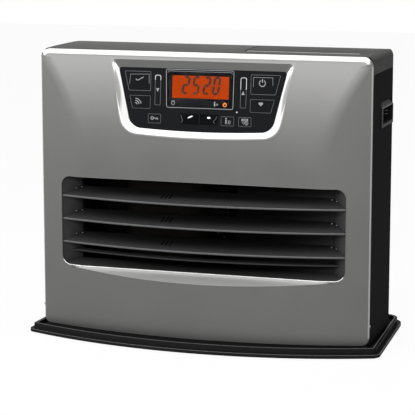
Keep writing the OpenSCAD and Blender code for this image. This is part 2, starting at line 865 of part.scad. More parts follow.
// Thin bowed vane in the housing's mouth, under the blades
module bottom_vane() {
    half_deg = asin(half_w / bow_R);
    r = bow_R - 16;
    depth = 10;
    rise = 2;
    color([0.22, 0.22, 0.23]) in_case() intersection() {
        translate([0, bow_cy, slat_z - 2 * slat_pitch - 15]) rotate([0, 0, 270 - half_deg])
            rotate_extrude(angle = 2 * half_deg, $fn = 720) polygon([
                [r, -1], [r, 1], [r - slat_t, 1.4], [r - depth, rise + slat_t / 2],
                [r - depth, rise - slat_t / 2], [r - slat_t, -slat_t / 2], [r - slat_t, -1]
            ]);
        upright(0, far) intersection() {
            flare_plan(-gap);
            square([vent_w - 2, far], center = true);
        }
    }
}

// Burner
module at_burner() { in_case() translate([burner_x, burner_y, 0]) children(); }
module stadium(w, d, z0, z1) {
    translate([0, 0, z0]) {
        translate([-(w - d) / 2, -d / 2, 0]) cube([w - d, d, z1 - z0]);
        for (m = [1, -1]) translate([m * (w - d) / 2, 0, 0]) cylinder(h = z1 - z0, r = d / 2);
    }
}
module combustion_chamber() {
    t = burner_t;
    color([0.45, 0.44, 0.42]) at_burner() difference() {
        union() {
            stadium(chamber_w, chamber_d, chamber_z, chamber_z + chamber_h);
            stadium(chamber_w + 14, chamber_d + 14, chamber_z, chamber_z + t);
        }
        stadium(chamber_w - 2 * t, chamber_d - 2 * t, chamber_z - 1, chamber_z + chamber_h - t);
        for (a = [0:30:330]) translate([28 * cos(a), 16 * sin(a), chamber_z])
            cylinder(h = chamber_h + 5, r = 3);
    }
}

module igniter_axis() { translate([0, 0, igniter_z]) rotate([0, 90, 0]) children(); }
module pipe_axis() { translate([0, 0, pipe_z]) rotate([-90, 0, 0]) children(); }
module burner_pot() {
    color([0.5, 0.5, 0.5]) at_burner() difference() {
        union() {
            translate([0, 0, pot_z]) cylinder(h = flange_z - pot_z + 1, r = pot_r);
            translate([0, 0, flange_z]) cylinder(h = 2, r = pot_r + 10);
            igniter_axis() cylinder(h = pot_r + 6, r = 6);
            pipe_axis() cylinder(h = pot_r + 6, r = 6);
        }
        difference() {
            translate([0, 0, pot_z + 2]) cylinder(h = pot_h + 5, r = pot_r - 2);
            translate([0, 0, igniter_z + 8]) difference() {
                cylinder(h = 2, r = pot_r);
                translate([0, 0, -1]) cylinder(h = 4, r = pot_r - 16);
            }
        }
        translate([0, 0, pot_z - 1]) cylinder(h = 5, r = 14);
        igniter_axis() cylinder(h = far, r = rod_r + run_fit);
        pipe_axis() translate([0, 0, pot_r]) cylinder(h = far, r = pipe_r + run_fit);
        pipe_axis() cylinder(h = pot_r + 1, r = 1.4);
    }
}
module flame_ring() {
    z0 = igniter_z + 10;
    r = pot_r - 7;
    color([0.6, 0.58, 0.55]) at_burner() difference() {
        translate([0, 0, z0]) cylinder(h = 24, r = r);
        translate([0, 0, z0 - 1]) cylinder(h = 26, r = r - 6);
        for (a = [0:30:150]) translate([0, 0, z0 + 16]) rotate([90, 0, a])
            cylinder(h = 3 * r, r = 2, center = true, $fn = 32);
    }
}
module igniter() {
    color([0.85, 0.85, 0.8]) at_burner() igniter_axis() {
        translate([0, 0, 16]) cylinder(h = pot_r + 6 - 16, r = rod_r);
        translate([0, 0, pot_r + 6]) cylinder(h = 22, r = 5);
    }
}
module heat_shield() {
    color([0.6, 0.6, 0.6]) in_case() {
        box([duct_x0, tray_back_y, duct_top + 8], [duct_x1, duct_back, duct_top + 9]);
        for (x = [duct_x0, duct_x1 - 1])
            box([x, tray_back_y, duct_top + gap], [x + 1, duct_back, duct_top + 8.5]);
    }
}

// Convection fan at the back
module at_fan(y) { in_case() translate([burner_x, y, fan_z]) rotate([-90, 0, 0]) children(); }
module convection_fan() {
    chord = (fan_depth - 2) / sin(blade_deg);
    color([0.55, 0.55, 0.56]) at_fan(fan_front) difference() {
        union() {
            cylinder(h = fan_depth, r = hub_r);
            intersection() {
                cylinder(h = fan_depth, r = fan_r);
                for (k = [0:fan_blades - 1]) rotate([0, 0, k * 360 / fan_blades])
                    translate([hub_r - 3, 0, fan_depth / 2]) rotate([blade_deg, 0, 0])
                        translate([0, -chord / 2, -0.7]) cube([fan_r, chord, 1.4]);
            }
        }
        translate([0, 0, -1]) cylinder(h = fan_depth + 2, r = shaft_r + run_fit);
    }
}
module fan_shaft() {
    color([0.7, 0.7, 0.72]) at_fan(fan_front - 3) cylinder(h = fan_depth + 25, r = shaft_r);
}
module fan_motor() {
    color([0.35, 0.35, 0.36]) at_fan(motor_y) difference() {
        union() {
            cylinder(h = 28, r = motor_r);
            cylinder(h = 32, r = 12);
        }
        translate([0, 0, -1]) cylinder(h = 25, r = shaft_r + run_fit);
    }
}
module motor_bracket() {
    y = rear_in + sheet + 0.1;
    color([0.5, 0.5, 0.5]) {
        at_fan(y - 5) difference() {
            cylinder(h = 6.5, r = motor_r + 4);
            translate([0, 0, -1]) cylinder(h = 9, r = motor_r + run_fit);
        }
        in_case() difference() {
            for (a = [45:90:315]) translate([burner_x, y, fan_z]) rotate([0, a, 0]) {
                box([motor_r + 2, 0, -5], [fan_r + 12, 1.5, 5]);
                translate([fan_r + 12, 1.5, 0]) rotate([90, 0, 0]) cylinder(h = 1.5, r = 5);
            }
            bracket_screws() cylinder(h = 20, r = 1.6, center = true);
        }
    }
}

module at_guard() { in_case() translate([burner_x, 0, fan_z]) children(); }
module fan_guard() {
    h = guard_w / 2;
    color([0.15, 0.15, 0.15]) at_guard() {
        difference() {
            frontwise(guard_y, guard_end) rounded_rect(-h, -h, h, h, 12);
            frontwise(guard_y - 1, guard_end - 2) rounded_rect(-h + 3, -h + 3, h - 3, h - 3, 9);
            for (x = [-80:8:76], z = [-82, -26, 30])
                box([x, 0, z], [x + 5, far, z + 52]);
        }
        for (m = [1, -1]) scale_x(m) {
            box([h - rail_w, guard_end, -h + 12], [h, guard_end + rail_d, h - 12]);
            box([h - 2 * rail_w, guard_end + rail_d - 2, -h + 12],
                [h - rail_w + 0.1, guard_end + rail_d, h - 12]);
        }
        box([-h + 12, guard_end, -h], [h - 12, guard_end + rail_d, -h + 3]);
    }
}
module air_filter() {
    h = guard_w / 2;
    x1 = h - rail_w - gap;
    z0 = -h + 3 + gap;
    z1 = h - 2;
    n = 10;
    px = (2 * x1 - 10) / n;
    pz = (z1 - z0 - 10) / n;
    color([0.25, 0.25, 0.25]) at_guard() difference() {
        union() {
            box([-x1, guard_end + gap, z0], [x1, guard_end + gap + filter_t, z1]);
            box([-16, guard_end + gap, z1 - 1], [16, guard_end + gap + filter_t, z1 + 9]);
        }
        for (i = [0:n - 1], k = [0:n - 1])
            box([-x1 + 5 + i * px + 0.7, 0, z0 + 5 + k * pz + 0.7],
                [-x1 + 5 + (i + 1) * px - 0.7, far, z0 + 5 + (k + 1) * pz - 0.7]);
    }
}

// Combustion air blower
module at_blower(y) { in_case() translate([blower_x, y, blower_z]) rotate([-90, 0, 0]) children(); }
module blower_housing() {
    t = 1.5;
    color([0.4, 0.4, 0.41]) difference() {
        union() {
            at_blower(blower_y0) cylinder(h = blower_w, r = blower_r);
            in_case() box([blower_x, blower_y - 11, box_z0], [blower_x + throat, blower_y + 11, box_z1]);
            in_case() box([blower_x - 20, blower_y0, plinth_z + 0.2],
                          [blower_x + 20, blower_y0 + blower_w, blower_z - blower_r + 6]);
        }
        at_blower(blower_y0 + t) cylinder(h = blower_w - 2 * t, r = blower_r - t);
        at_blower(blower_y0 - 1) cylinder(h = 5, r = 14);
        at_blower(blower_y) cylinder(h = blower_w, r = shaft_r + run_fit);
        in_case() box([blower_x, blower_y - 11 + t, box_z0 + t],
                      [blower_x + throat + 1, blower_y + 11 - t, box_z1 - t]);
    }
}
module blower_impeller() {
    r = blower_r - 8;
    color([0.6, 0.6, 0.6]) at_blower(blower_y0 + 4) {
        translate([0, 0, 16]) cylinder(h = 2, r = r);
        cylinder(h = blower_w + 12, r = shaft_r);
        translate([0, 0, 6]) cylinder(h = 12, r = 8);
        for (a = [0:30:330]) rotate([0, 0, a]) translate([r - 10, -0.7, 0]) cube([9.5, 1.4, 17]);
    }
}
module blower_motor() {
    color([0.35, 0.35, 0.36]) at_blower(blower_y0 + blower_w + 0.1) difference() {
        cylinder(h = 36, r = 22);
        translate([0, 0, -1]) cylinder(h = 20, r = shaft_r + run_fit);
    }
}
module air_box() {
    t = burner_t;
    x0 = blower_x + throat + 0.1;
    x1 = burner_x + 24;
    color([0.5, 0.5, 0.5]) in_case() difference() {
        union() {
            box([x0, blower_y - 11, box_z0], [x1, blower_y + 11, box_z1]);
            translate([burner_x, burner_y, 0]) upright(box_z1 - 1, pot_z - 0.1) circle(20);
            translate([burner_x, burner_y, 0]) upright(box_z0, box_z1) circle(22);
        }
        box([x0 - 1, blower_y - 11 + t, box_z0 + t], [x1 - t, blower_y + 11 - t, box_z1 - t]);
        translate([burner_x, burner_y, 0]) upright(box_z0 + t, box_z1 - t) circle(22 - t);
        translate([burner_x, burner_y, 0]) upright(box_z0 + t, pot_z + 5) circle(16);
    }
}

// Fuel system
module at_mouth() { in_case() translate([cap_x, cap_y, 0]) children(); }
module fuel_sump() {
    t = burner_t;
    color([0.45, 0.45, 0.46]) difference() {
        union() {
            difference() {
                in_case() box([sump_x0, sump_y0, plinth_z + 0.2], [sump_x1, sump_y1, sump_top]);
                in_case() box([sump_x0 + t, sump_y0 + t, plinth_z + 0.2 + t],
                              [sump_x1 - t, sump_y1 - t, sump_top - t]);
            }
            at_mouth() upright(sump_top - 6, sump_top) circle(mouth_r + 7);
        }
        at_mouth() upright(sump_top - 7, sump_top + 1) circle(mouth_r);
        at_mouth() upright(sump_top - 1.5, sump_top + 1) circle(mouth_r + 3.3);
    }
}
module fuel_strainer() {
    r = mouth_r - gap;
    z0 = sump_top - 34;
    color([0.8, 0.75, 0.4]) at_mouth() {
        difference() {
            union() {
                upright(z0, sump_top) circle(r);
                upright(sump_top - 1.5, sump_top) circle(mouth_r + 3);
            }
            upright(z0 + 1.5, sump_top + 1) circle(r - 1.2);
            for (a = [0:30:330]) rotate([0, 0, a]) box([r - 4, -2.5, z0 + 5], [r + 4, 2.5, z0 + 18]);
        }
        upright(z0 + 1, sump_top - 14) circle(3);
    }
}
module fuel_pump() {
    color([0.55, 0.55, 0.56]) in_case() translate([pump_x, pump_y, 0]) difference() {
        union() {
            upright(sump_top, sump_top + 3) circle(pump_r);
            upright(sump_top, sump_top + 44) circle(pump_r - 3);
            upright(sump_top + 8, sump_top + 34) circle(pump_r);
            translate([0, 0, pipe_z]) rotate([0, -90, 0]) cylinder(h = pump_r + 6, r = 4.5);
        }
        translate([-pump_r - 1, 0, pipe_z]) rotate([0, -90, 0])
            cylinder(h = 20, r = pipe_r + run_fit);
    }
}
module fuel_pipe() {
    x0 = burner_x + pipe_bend;
    x1 = pump_x - pump_r - 3;
    y1 = pump_y - pipe_bend;
    color([0.72, 0.45, 0.25]) in_case() translate([0, 0, pipe_z]) {
        translate([x0, pump_y, 0]) rotate([0, 90, 0]) cylinder(h = x1 - x0, r = pipe_r);
        translate([x0, y1, 0]) rotate([0, 0, 90])
            rotate_extrude(angle = 90) translate([pipe_bend, 0]) circle(pipe_r);
        translate([burner_x, burner_y + pot_r + 2, 0]) rotate([-90, 0, 0])
            cylinder(h = y1 - burner_y - pot_r - 2, r = pipe_r);
    }
}
module fuel_tank() {
    t = tank_t;
    color([0.6, 0.61, 0.62]) in_case() difference() {
        union() {
            upright(tank_z, tank_z + tank_h) rounded_rect(tank_x0, tank_y0, tank_x1, tank_y1, 12);
            translate([cap_x, cap_y, 0]) upright(tank_z - 16, tank_z + 1) circle(neck_r);
        }
        upright(tank_z + t, tank_z + tank_h - t)
            rounded_rect(tank_x0 + t, tank_y0 + t, tank_x1 - t, tank_y1 - t, 12 - t);
        translate([cap_x, cap_y, 0]) upright(tank_z - 17, tank_z + 3) circle(neck_r - 1.5);
    }
}
module tank_cap() {
    z0 = tank_z - 20;
    color([0.2, 0.2, 0.2]) at_mouth() difference() {
        upright(z0, tank_z - 1) circle(cap_r);
        upright(z0 + 3.9, tank_z) circle(neck_r + run_fit);
        upright(z0 - 1, tank_z) circle(3.4);
    }
}
module tank_handle() {
    color([0.2, 0.2, 0.2]) at_mouth() difference() {
        box([-38, -7, tank_top], [38, 7, tank_top + 14]);
        box([-30, -8, tank_top - 1], [30, 8, tank_top + 9]);
    }
}
module tank_gauge() {
    color([0.8, 0.8, 0.7]) in_case() translate([cap_x + 60, cap_y, 0])
        upright(tank_top, tank_top + 3) circle(12);
}
module tank_bulkhead() {
    z0 = sump_top + gap;
    z1 = seam_z - 4;
    y0 = bulk_y;
    color([0.55, 0.55, 0.55]) in_case() {
        box([bulk_x, y0, z0], [bulk_x + 1, rear_in - 0.5, z1]);
        box([bulk_x, y0, z0], [half_w - sheet - 0.5, y0 + 1, z1]);
    }
}

// Electrical pieces
module mains_bush() {
    y = rear_in + sheet;
    color([0.1, 0.1, 0.1]) in_case() translate([bush_x, y, bush_z]) rotate([-90, 0, 0])
        difference() {
            union() {
                cylinder(h = 4, r = bush_r + 3);
                translate([0, 0, -8]) cylinder(h = 9, r = bush_r);
                cylinder(h = 14, r = bush_r - 1.5);
            }
            translate([0, 0, -9]) cylinder(h = 30, r = bush_r / 2);
        }
}
module power_board() {
    x0 = -half_w + grip_deep + 6;
    z0 = seam_z - 4 - power_h;
    y = rear_in - spacer_h;
    color([0.15, 0.4, 0.2]) in_case() {
        box([x0, y - board_t, z0], [x0 + power_w, y, z0 + power_h]);
        for (x = [6, power_w - 6], z = [6, power_h - 6])
            translate([x0 + x, rear_in, z0 + z]) rotate([90, 0, 0]) cylinder(h = spacer_h + 0.5, r = 3);
        box([x0 + 8, y - board_t - coil_d, z0 + 12], [x0 + power_w - 8, y - board_t, z0 + 47]);
        for (z = [power_h - 48, power_h - 22]) translate([x0 + power_w / 2, y - board_t, z0 + z])
            rotate([90, 0, 0]) cylinder(h = coil_d - 3, r = 9);
    }
}
module room_sensor() {
    y = rear_in + sheet;
    color([0.85, 0.85, 0.82]) in_case() {
        box([190, y, 140], [206, y + 3, 164]);
        box([194, y + 2, 146], [202, y + 10, 150]);
        translate([198, y + 10, 142]) cylinder(h = 18, r = 3);
    }
}

module rubber_feet() {
    color([0.08, 0.08, 0.08]) in_case() for (x = [-1, 1], y = [32, case_d - 30])
        translate([x * (half_w - 34), y, 0]) cylinder(h = plinth_z - 2, r = 14);
}

module plinth_plan(inset) {
    intersection() {
        translate([0, bow_cy]) circle(bow_R - 3 - inset, $fn = 180);
        translate([-half_w + 3 + inset, -front_bow])
            square([case_w - 6 - 2 * inset, front_bow + case_d - 2 - inset]);
    }
}
module base_tray() {
    color([0.12, 0.12, 0.12]) difference() {
        union() {
            upright(2, 4) tray_outline(4);
            upright(3.5, lip_h) tray_outline(0);
            upright(lip_h - 1, tray_h) tray_outline(6);
        }
        upright(tray_floor, far) difference() {
            tray_outline(11);
            translate([0, front_y]) plinth_plan(0);
        }
        upright(-1, tray_floor - 2) difference() {
            tray_outline(8);
            translate([0, front_y]) plinth_plan(2.5);
        }
        upright(-1, plinth_z - 2) translate([0, front_y]) plinth_plan(2);
    }
}

base_tray();
rubber_feet();
front_panel();
left_side_panel();
right_side_panel();
top_cover();
rear_panel();
tank_lid();
lid_hinge_pins();
left_grip();
right_grip();
control_fascia();
lcd_frame();
lcd_display();
lcd_window();
power_button();
comfort_button();
check_button();
timer_button();
down_button();
up_button();
lock_button();
left_set_button();
right_set_button();
vent_button();
schedule_button();
control_board();
outlet_duct();
upper_slat();
middle_slat();
lower_slat();
bottom_vane();
combustion_chamber();
burner_pot();
flame_ring();
igniter();
heat_shield();
convection_fan();
fan_shaft();
fan_motor();
motor_bracket();
fan_guard();
air_filter();
blower_housing();
blower_impeller();
blower_motor();
air_box();
fuel_sump();
fuel_strainer();
fuel_pump();
fuel_pipe();
fuel_tank();
tank_cap();
tank_handle();
tank_gauge();
tank_bulkhead();
mains_bush();
power_board();
room_sensor();
case_screws();
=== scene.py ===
"""Paraffin heater: finishes and fine pieces around the fixed frame, laid out as a Blender add-on."""

import math

import bmesh
import bpy
from bpy.props import FloatProperty, FloatVectorProperty, PointerProperty
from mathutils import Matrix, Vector


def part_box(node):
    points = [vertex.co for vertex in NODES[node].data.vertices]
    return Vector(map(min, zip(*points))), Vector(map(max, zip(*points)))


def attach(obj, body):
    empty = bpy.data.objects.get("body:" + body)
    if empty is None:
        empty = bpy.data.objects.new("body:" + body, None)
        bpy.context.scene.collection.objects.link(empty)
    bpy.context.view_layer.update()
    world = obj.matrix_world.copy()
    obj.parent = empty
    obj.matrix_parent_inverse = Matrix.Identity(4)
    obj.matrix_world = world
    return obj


bl_info = {
    "name": "Paraffin heater",
    "version": (1, 0, 0),
    "blender": (4, 5, 0),
    "location": "View3D > Sidebar > Heater",
    "description": "Finishes, key marks, display and stage of a fan-forced paraffin heater",
    "category": "Object",
}

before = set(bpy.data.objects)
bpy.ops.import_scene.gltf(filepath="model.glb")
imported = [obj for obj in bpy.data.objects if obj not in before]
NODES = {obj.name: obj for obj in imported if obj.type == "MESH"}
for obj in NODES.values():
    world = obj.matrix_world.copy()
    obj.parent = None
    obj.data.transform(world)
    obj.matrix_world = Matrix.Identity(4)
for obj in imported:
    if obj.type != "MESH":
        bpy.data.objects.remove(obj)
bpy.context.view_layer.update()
MM = 0.001


# Sizes shared with the construction drawing, in metres

CORNER_Y = -0.070                      # the case's front corner line
BOW, HALF_W = 0.040, 0.256             # how far the front bows out, and half the case's width
BOW_R = (HALF_W ** 2 + BOW ** 2) / (2 * BOW)
BOW_CY = CORNER_Y + BOW_R - BOW
WALL_DEPTH, WALL_TOP = 0.019, 0.270    # the upright wall round the louvres, and where it starts to lean
LEAN_RISE, LEAN_BACK = 0.162, 0.017    # height of the leaning part, and how far back it goes
LEAN_R = (LEAN_RISE ** 2 + LEAN_BACK ** 2) / (2 * LEAN_BACK)
LEDGE_FOOT, LEDGE_SLOPE = 0.0995, 9.5 / 23
VENT_X, VENT_Z, VENT_ROUND = 0.222, (0.112, 0.249), 0.015
CASE_TOP, TOP_ROUND, TOP_SET = 0.440, 0.008, 0.002
SHOULDER, PANEL_BACK = 0.013, CORNER_Y + 0.005
BLADES = {"upper": 0.218, "middle": 0.1825, "lower": 0.147}

# Control panel: its foot line in metres, then sizes and places in millimetres across and up it

FASCIA_LEAN = math.radians(5.7)
FASCIA_FOOT = Vector((0, CORNER_Y - 0.0102, 0.3275))
ALONG = Vector((0, math.sin(FASCIA_LEAN), math.cos(FASCIA_LEAN)))
OUTWARD = Vector((0, -math.cos(FASCIA_LEAN), math.sin(FASCIA_LEAN)))
FOOT_W, HEAD_W, FASCIA_LONG = 219, 261, 89
KEY_FACE = 0.5                         # how far the keys stand out of the panel
ROWS = {"high": (54.0, 84.0), "low": (27.5, 48.0), "bar": (33.5, 79.0), "small": (6.5, 21.3)}
KEY_MARGIN, LEFT_COLUMN, RIGHT_COLUMN = 8.3, -78.5, 75.0
SPANS = {"down": (-72.8, -62.8, "bar"), "up": (59.6, 69.6, "bar"), "lock": (-82.5, -61.5, "small"),
         "vent": (31.0, 52.0, "small"), "schedule": (58.0, 78.3, "small")}


def clamp(value):
    return min(1.0, max(0.0, value))


def spread(low, high, steps):
    """Evenly spaced numbers, both ends included."""
    return [low + (high - low) * i / steps for i in range(steps + 1)]


def hump(value, middle, half):
    """A soft hump, 1 high at its middle."""
    return math.exp(-((value - middle) / half) ** 2)


def on_fascia(u, v, w=0.0):
    """A point of the control panel: across, up and out of it, in millimetres."""
    return FASCIA_FOOT + Vector((u * MM, 0, 0)) + ALONG * (v * MM) + OUTWARD * (w * MM)


def bow_y(x, radius=BOW_R):
    """How far back a line that follows the front's bow lies."""
    return BOW_CY - math.sqrt(radius ** 2 - x * x)


def front_y(x, z):
    """How far back the painted front lies at a point across and up."""
    wall = CORNER_Y - WALL_DEPTH
    if z > WALL_TOP:
        wall += LEAN_R - math.sqrt(LEAN_R ** 2 - (z - WALL_TOP) ** 2)
    over = z - (CASE_TOP - TOP_ROUND)
    if over > 0:
        wall = CORNER_Y - TOP_SET + TOP_ROUND - math.sqrt(max(0.0, TOP_ROUND ** 2 - over * over))
    ledge = CORNER_Y - BOW + (z - LEDGE_FOOT) / LEDGE_SLOPE
    return max(bow_y(x), min(ledge, wall))


def bowed_outline(foot_w, head_w, length, sag, foot_round, head_round, sides=14):
    """Right half of the fascia's kind of outline, from the middle of its foot to its head."""
    hb = foot_w / 2
    big = (hb * hb + sag * sag) / (2 * sag)
    o, a = Vector((0, big - sag)), Vector((hb, 0))
    d = Vector((head_w / 2 - hb, length)).normalized()
    n = Vector((d.y, -d.x))
    cy = length - head_round
    top = Vector(((a.dot(n) - head_round - cy * n.y) / n.x, cy))
    k = a.dot(n) - foot_round
    b = d.dot(o)
    low = n * k + d * (b - math.sqrt(
        b * b - (k * k - 2 * k * n.dot(o) + o.dot(o) - (big - foot_round) ** 2)))
    turn, lean = math.atan2(low.y - o.y, low.x - o.x), math.atan2(n.y, n.x)

    def arc(centre, r, start, stop, steps):
        return [centre + r * Vector((math.cos(t), math.sin(t))) for t in spread(start, stop, steps)]
    foot = arc(o, big, -math.pi / 2, turn, 20)
    corner = arc(low, foot_round, turn, lean, 10)[1:]
    head = arc(top, head_round, lean, math.pi / 2, 8)
    side = [corner[-1].lerp(head[0], i / sides) for i in range(1, sides)]
    return foot + corner + side + head


# Properties

def size_property(name, description, default, low, high):
    return FloatProperty(name=name, description=description, default=default, min=low, max=high,
                         unit="LENGTH")


def colour_property(name, piece, *default):
    return FloatVectorProperty(name=name, description="Colour of " + piece, subtype="COLOR", size=3,
                               min=0, max=1, default=default)


class HeaterSizes(bpy.types.PropertyGroup):
    """Sizes of the pieces that the frame doesn't hold."""

    edge_round: size_property("Edge round", "Radius of the moulded covers' edges", 0.0006, 0.0001, 0.002)
    mark_width: size_property("Mark width", "Width of the lines printed on the keys", 0.0007, 0.0003, 0.0015)
    print_height: size_property(
        "Print height", "Height of the printed marks above a key", 0.00006, 0.00002, 0.0003)


class HeaterColours(bpy.types.PropertyGroup):
    """Colours of the finishes."""

    silver: colour_property("Silver paint", "the front's metallic paint", 0.119, 0.1187, 0.1165)
    dark: colour_property("Dark paint", "the painted sides and back", 0.0105, 0.0105, 0.0105)
    # The bright silver is the colour of the painted highlights on the top edge, the control panel's rim, the
    # ledge and the side and vent edges
    bright: colour_property("Bright silver", "the bright rim round the control panel", 0.72, 0.72, 0.71)
    cover: colour_property("Top cover", "the moulded top", 0.072, 0.072, 0.069)
    fascia: colour_property("Control panel", "the control panel and its keys", 0.008, 0.0085, 0.0095)
    display: colour_property("Display", "the lit display", 0.240, 0.0255, 0.0020)
    tray: colour_property("Tray", "the drip tray", 0.011, 0.011, 0.0115)


# Finishes

class Value:
    """A socket in a node tree. Arithmetic on it adds Math nodes."""

    def __init__(self, graph, socket):
        self.graph, self.socket = graph, socket

    def _math(self, operation, other):
        return self.graph.node("Math", {"operation": operation}, {0: self, 1: other})

    def __add__(self, other):
        return self._math("ADD", other)

    def __sub__(self, other):
        return self._math("SUBTRACT", other)

    def __mul__(self, other):
        return self._math("MULTIPLY", other)

    def __truediv__(self, other):
        return self._math("DIVIDE", other)

    __radd__, __rmul__ = __add__, __mul__


class Graph:
    """A node tree whose nodes are made by short calls."""

    def __init__(self, owner):
        owner.use_nodes = True
        self.tree = owner.node_tree

    def fill(self, socket, value):
        """Links a socket to a value, or sets it."""
        if isinstance(value, Value):
            self.tree.links.new(value.socket, socket)
        else:
            socket.default_value = value

    def node(self, kind, settings=None, inputs=None, out=0):
        """Adds a node: its settings first, then the values or links of its sockets."""
        n = self.tree.nodes.new("ShaderNode" + kind)
        for key, value in (settings or {}).items():
            setattr(n, key, value)
        for key, value in (inputs or {}).items():
            self.fill(n.inputs[key], value)
        return Value(self, n.outputs[out])

    def seen(self):
        """Not 0 for rays from the camera, in reflections and through clear pieces."""
        path = self.tree.nodes.new("ShaderNodeLightPath")
        camera, glossy, through = (Value(self, path.outputs[f"Is {kind} Ray"])
                                   for kind in ("Camera", "Glossy", "Transmission"))
        return camera + glossy + through


class Finish(Graph):
    """A material round one Principled shader."""

    def __init__(self, name, colour, roughness, spec=0.5, **constants):
        self.material = bpy.data.materials.new(name)
        super().__init__(self.material)
        self.shader = self.tree.nodes["Principled BSDF"]
        self.put("Base Color", (*colour, 1.0))
        self.put("Roughness", roughness)
        self.put("Specular IOR Level", spec)
        for socket, value in constants.items():
            self.put(socket.replace("_", " "), value)

    def put(self, socket, value):
        """Sets or links one of the shader's sockets."""
        self.fill(self.shader.inputs[socket], value)

    def vary(self, colour, roughness):
        """Gives the shader an uneven colour and roughness."""
        self.put("Base Color", colour)
        self.put("Roughness", roughness)

    def mix(self, low, high, amount):
        """Blends two colours by a value."""
        ends = {k: c if isinstance(c, Value) else (*c, 1.0) for k, c in ((6, low), (7, high))}
        return self.node("Mix", {"data_type": "RGBA"}, {0: amount, **ends}, out=2)

    def shades(self, colour, low, high, amount):
        """Blends a colour's darker and lighter shade by a value."""
        return self.mix(shade(colour, low), shade(colour, high), amount)

    def rise(self, value, low, high):
        """Rises softly from 0 to 1 between two values."""
        return self.node("MapRange", {"interpolation_type": "SMOOTHSTEP"},
                         {"Value": value, "From Min": low, "From Max": high})

    def place(self, stretch=None):
        """Coordinates in the heater's own frame, in metres."""
        here = self.node("TexCoord", out="Object")
        if not stretch:
            return here
        return self.node("VectorMath", {"operation": "MULTIPLY"}, {0: here, 1: stretch})

    def part(self, vector, index):
        """One of the three numbers of a vector."""
        return self.node("SeparateXYZ", inputs={0: vector}, out=index)

    def noise(self, scale, detail=2.0, stretch=None, roughness=0.5):
        return self.node("TexNoise", inputs={
            "Vector": self.place(stretch), "Scale": scale, "Detail": detail, "Roughness": roughness})

    def cells(self, scale):
        return self.node("TexVoronoi", inputs={"Vector": self.place(), "Scale": scale})

    def threads(self, direction):
        return self.node("TexWave", {"bands_direction": direction},
                         {"Vector": self.place(), "Scale": 900.0})

    def painted_shade_depth(self, clouds, near, far):
        """Share of painted shade: rises from 0 to 1 between two depths behind the bowed front, unevenly."""
        across = self.part(self.place(), 0)
        depth = self.part(self.place(), 1) + (BOW - CORNER_Y) - across * across / (2 * BOW_R)
        return self.rise(depth + 0.006 * clouds, near, far)

    def bump(self, height, depth, strength):
        """Roughens the surface by a depth in micrometres."""
        self.put("Normal", self.node("Bump", inputs={
            "Height": height, "Distance": depth * MM * MM, "Strength": strength}))
        return self


def shade(colour, factor):
    return tuple(min(1.0, c * factor) for c in colour)


def chosen(name, factor=1.0):
    """One of the heater's colours."""
    return shade(getattr(bpy.context.scene.heater_colours, name), factor)


def tone(colour):
    """A plain colour from a colour, a grey's one number, or the name and factor of a chosen colour."""
    if isinstance(colour, float):
        return (colour,) * 3
    return chosen(*colour) if isinstance(colour[0], str) else colour


def silver_paint(name):
    c = chosen("silver")
    f = Finish(name, c, 0.42, Metallic=0.9)
    clouds = f.noise(14, 3.0)
    f.vary(f.shades(c, 0.90, 1.12, f.noise(2600, 1.0) * 0.6 + clouds * 0.4), 0.40 + 0.05 * clouds)
    return f.bump(f.noise(420), 40, 0.35)


def painted_highlight_silver(name, factor, fade=None):
    """Painted highlight in bright silver, which may fade into the front's paint across a piece."""
    c = chosen("bright", factor)
    f = Finish(name, c, 0.34, Metallic=0.3)
    flakes = f.noise(2600, 1.0)
    colour = f.shades(c, 0.94, 1.04, flakes)
    if fade:
        share = f.rise(f.node("Attribute", {"attribute_name": fade}, out=2), 0.35, 1.0)
        colour = f.mix(colour, f.shades(chosen("silver"), 0.95, 1.08, flakes), share)
        f.put("Metallic", 0.3 + 0.6 * share)
        f.put("Roughness", 0.34 + 0.08 * share)
    f.put("Base Color", colour)
    return f.bump(f.noise(420), 30, 0.3)


def gauze(name):
    """Fine black filter cloth over the air inlet."""
    f = Finish(name, (0.012, 0.012, 0.013), 0.8, 0.1)
    dust = f.noise(70, 4.0)
    f.vary(f.mix((0.008, 0.008, 0.009), (0.022, 0.021, 0.020), dust), 0.75 + 0.15 * dust)
    return f.bump(f.threads("X") + f.threads("Z"), 100, 0.5)


def dark_paint(name):
    c = chosen("dark")
    f = Finish(name, c, 0.55, 0.001)
    clouds = f.noise(22, 3.0)
    f.vary(f.shades(c, 0.85, 1.2, clouds), 0.46 + 0.1 * clouds)
    return f.bump(f.noise(900), 50, 0.5)


def moulding(name, colour, roughness, grain=1500, depth=50, spec=0.35):
    """Moulded plastic with a fine spark-eroded grain."""
    c = tone(colour)
    f = Finish(name, c, roughness, spec)
    clouds = f.noise(30)
    speck = f.cells(grain)
    f.vary(f.shades(c, 0.88, 1.14, clouds * 0.6 + speck * 0.4), roughness - 0.04 + 0.08 * clouds)
    return f.bump(speck, depth, 0.5)


def cover_moulding(name):
    """The top cover's grained plastic, with painted shade on its skirt: faces that turn from up to sideways
    darken to a fifth of the colour.
    """
    c = chosen("cover")
    f = moulding(name, c, 0.42, 1300, 50, 0.014)
    # Share of the lit top by how much a face points up; the rest gets painted shade
    top = f.rise(f.part(f.node("TexCoord", out="Normal"), 2), 0.25, 0.85)
    grain = f.shades(c, 0.88, 1.14, f.noise(30) * 0.6 + f.cells(1300) * 0.4)
    f.put("Base Color", f.mix(shade(c, 0.2), grain, top))
    return f


def sheet_metal(name, colour, roughness, brushed=None, metallic=1.0):
    """Bare or plated sheet, with the direction of its rolling or brushing."""
    c = tone(colour)
    f = Finish(name, c, roughness, Metallic=metallic)
    grain = f.noise(700, 3.0, brushed)
    f.vary(f.shades(c, 0.84, 1.18, f.noise(26, 4.0) * 0.7 + grain * 0.3), roughness - 0.06 + 0.14 * grain)
    return f.bump(grain, 30, 0.4)


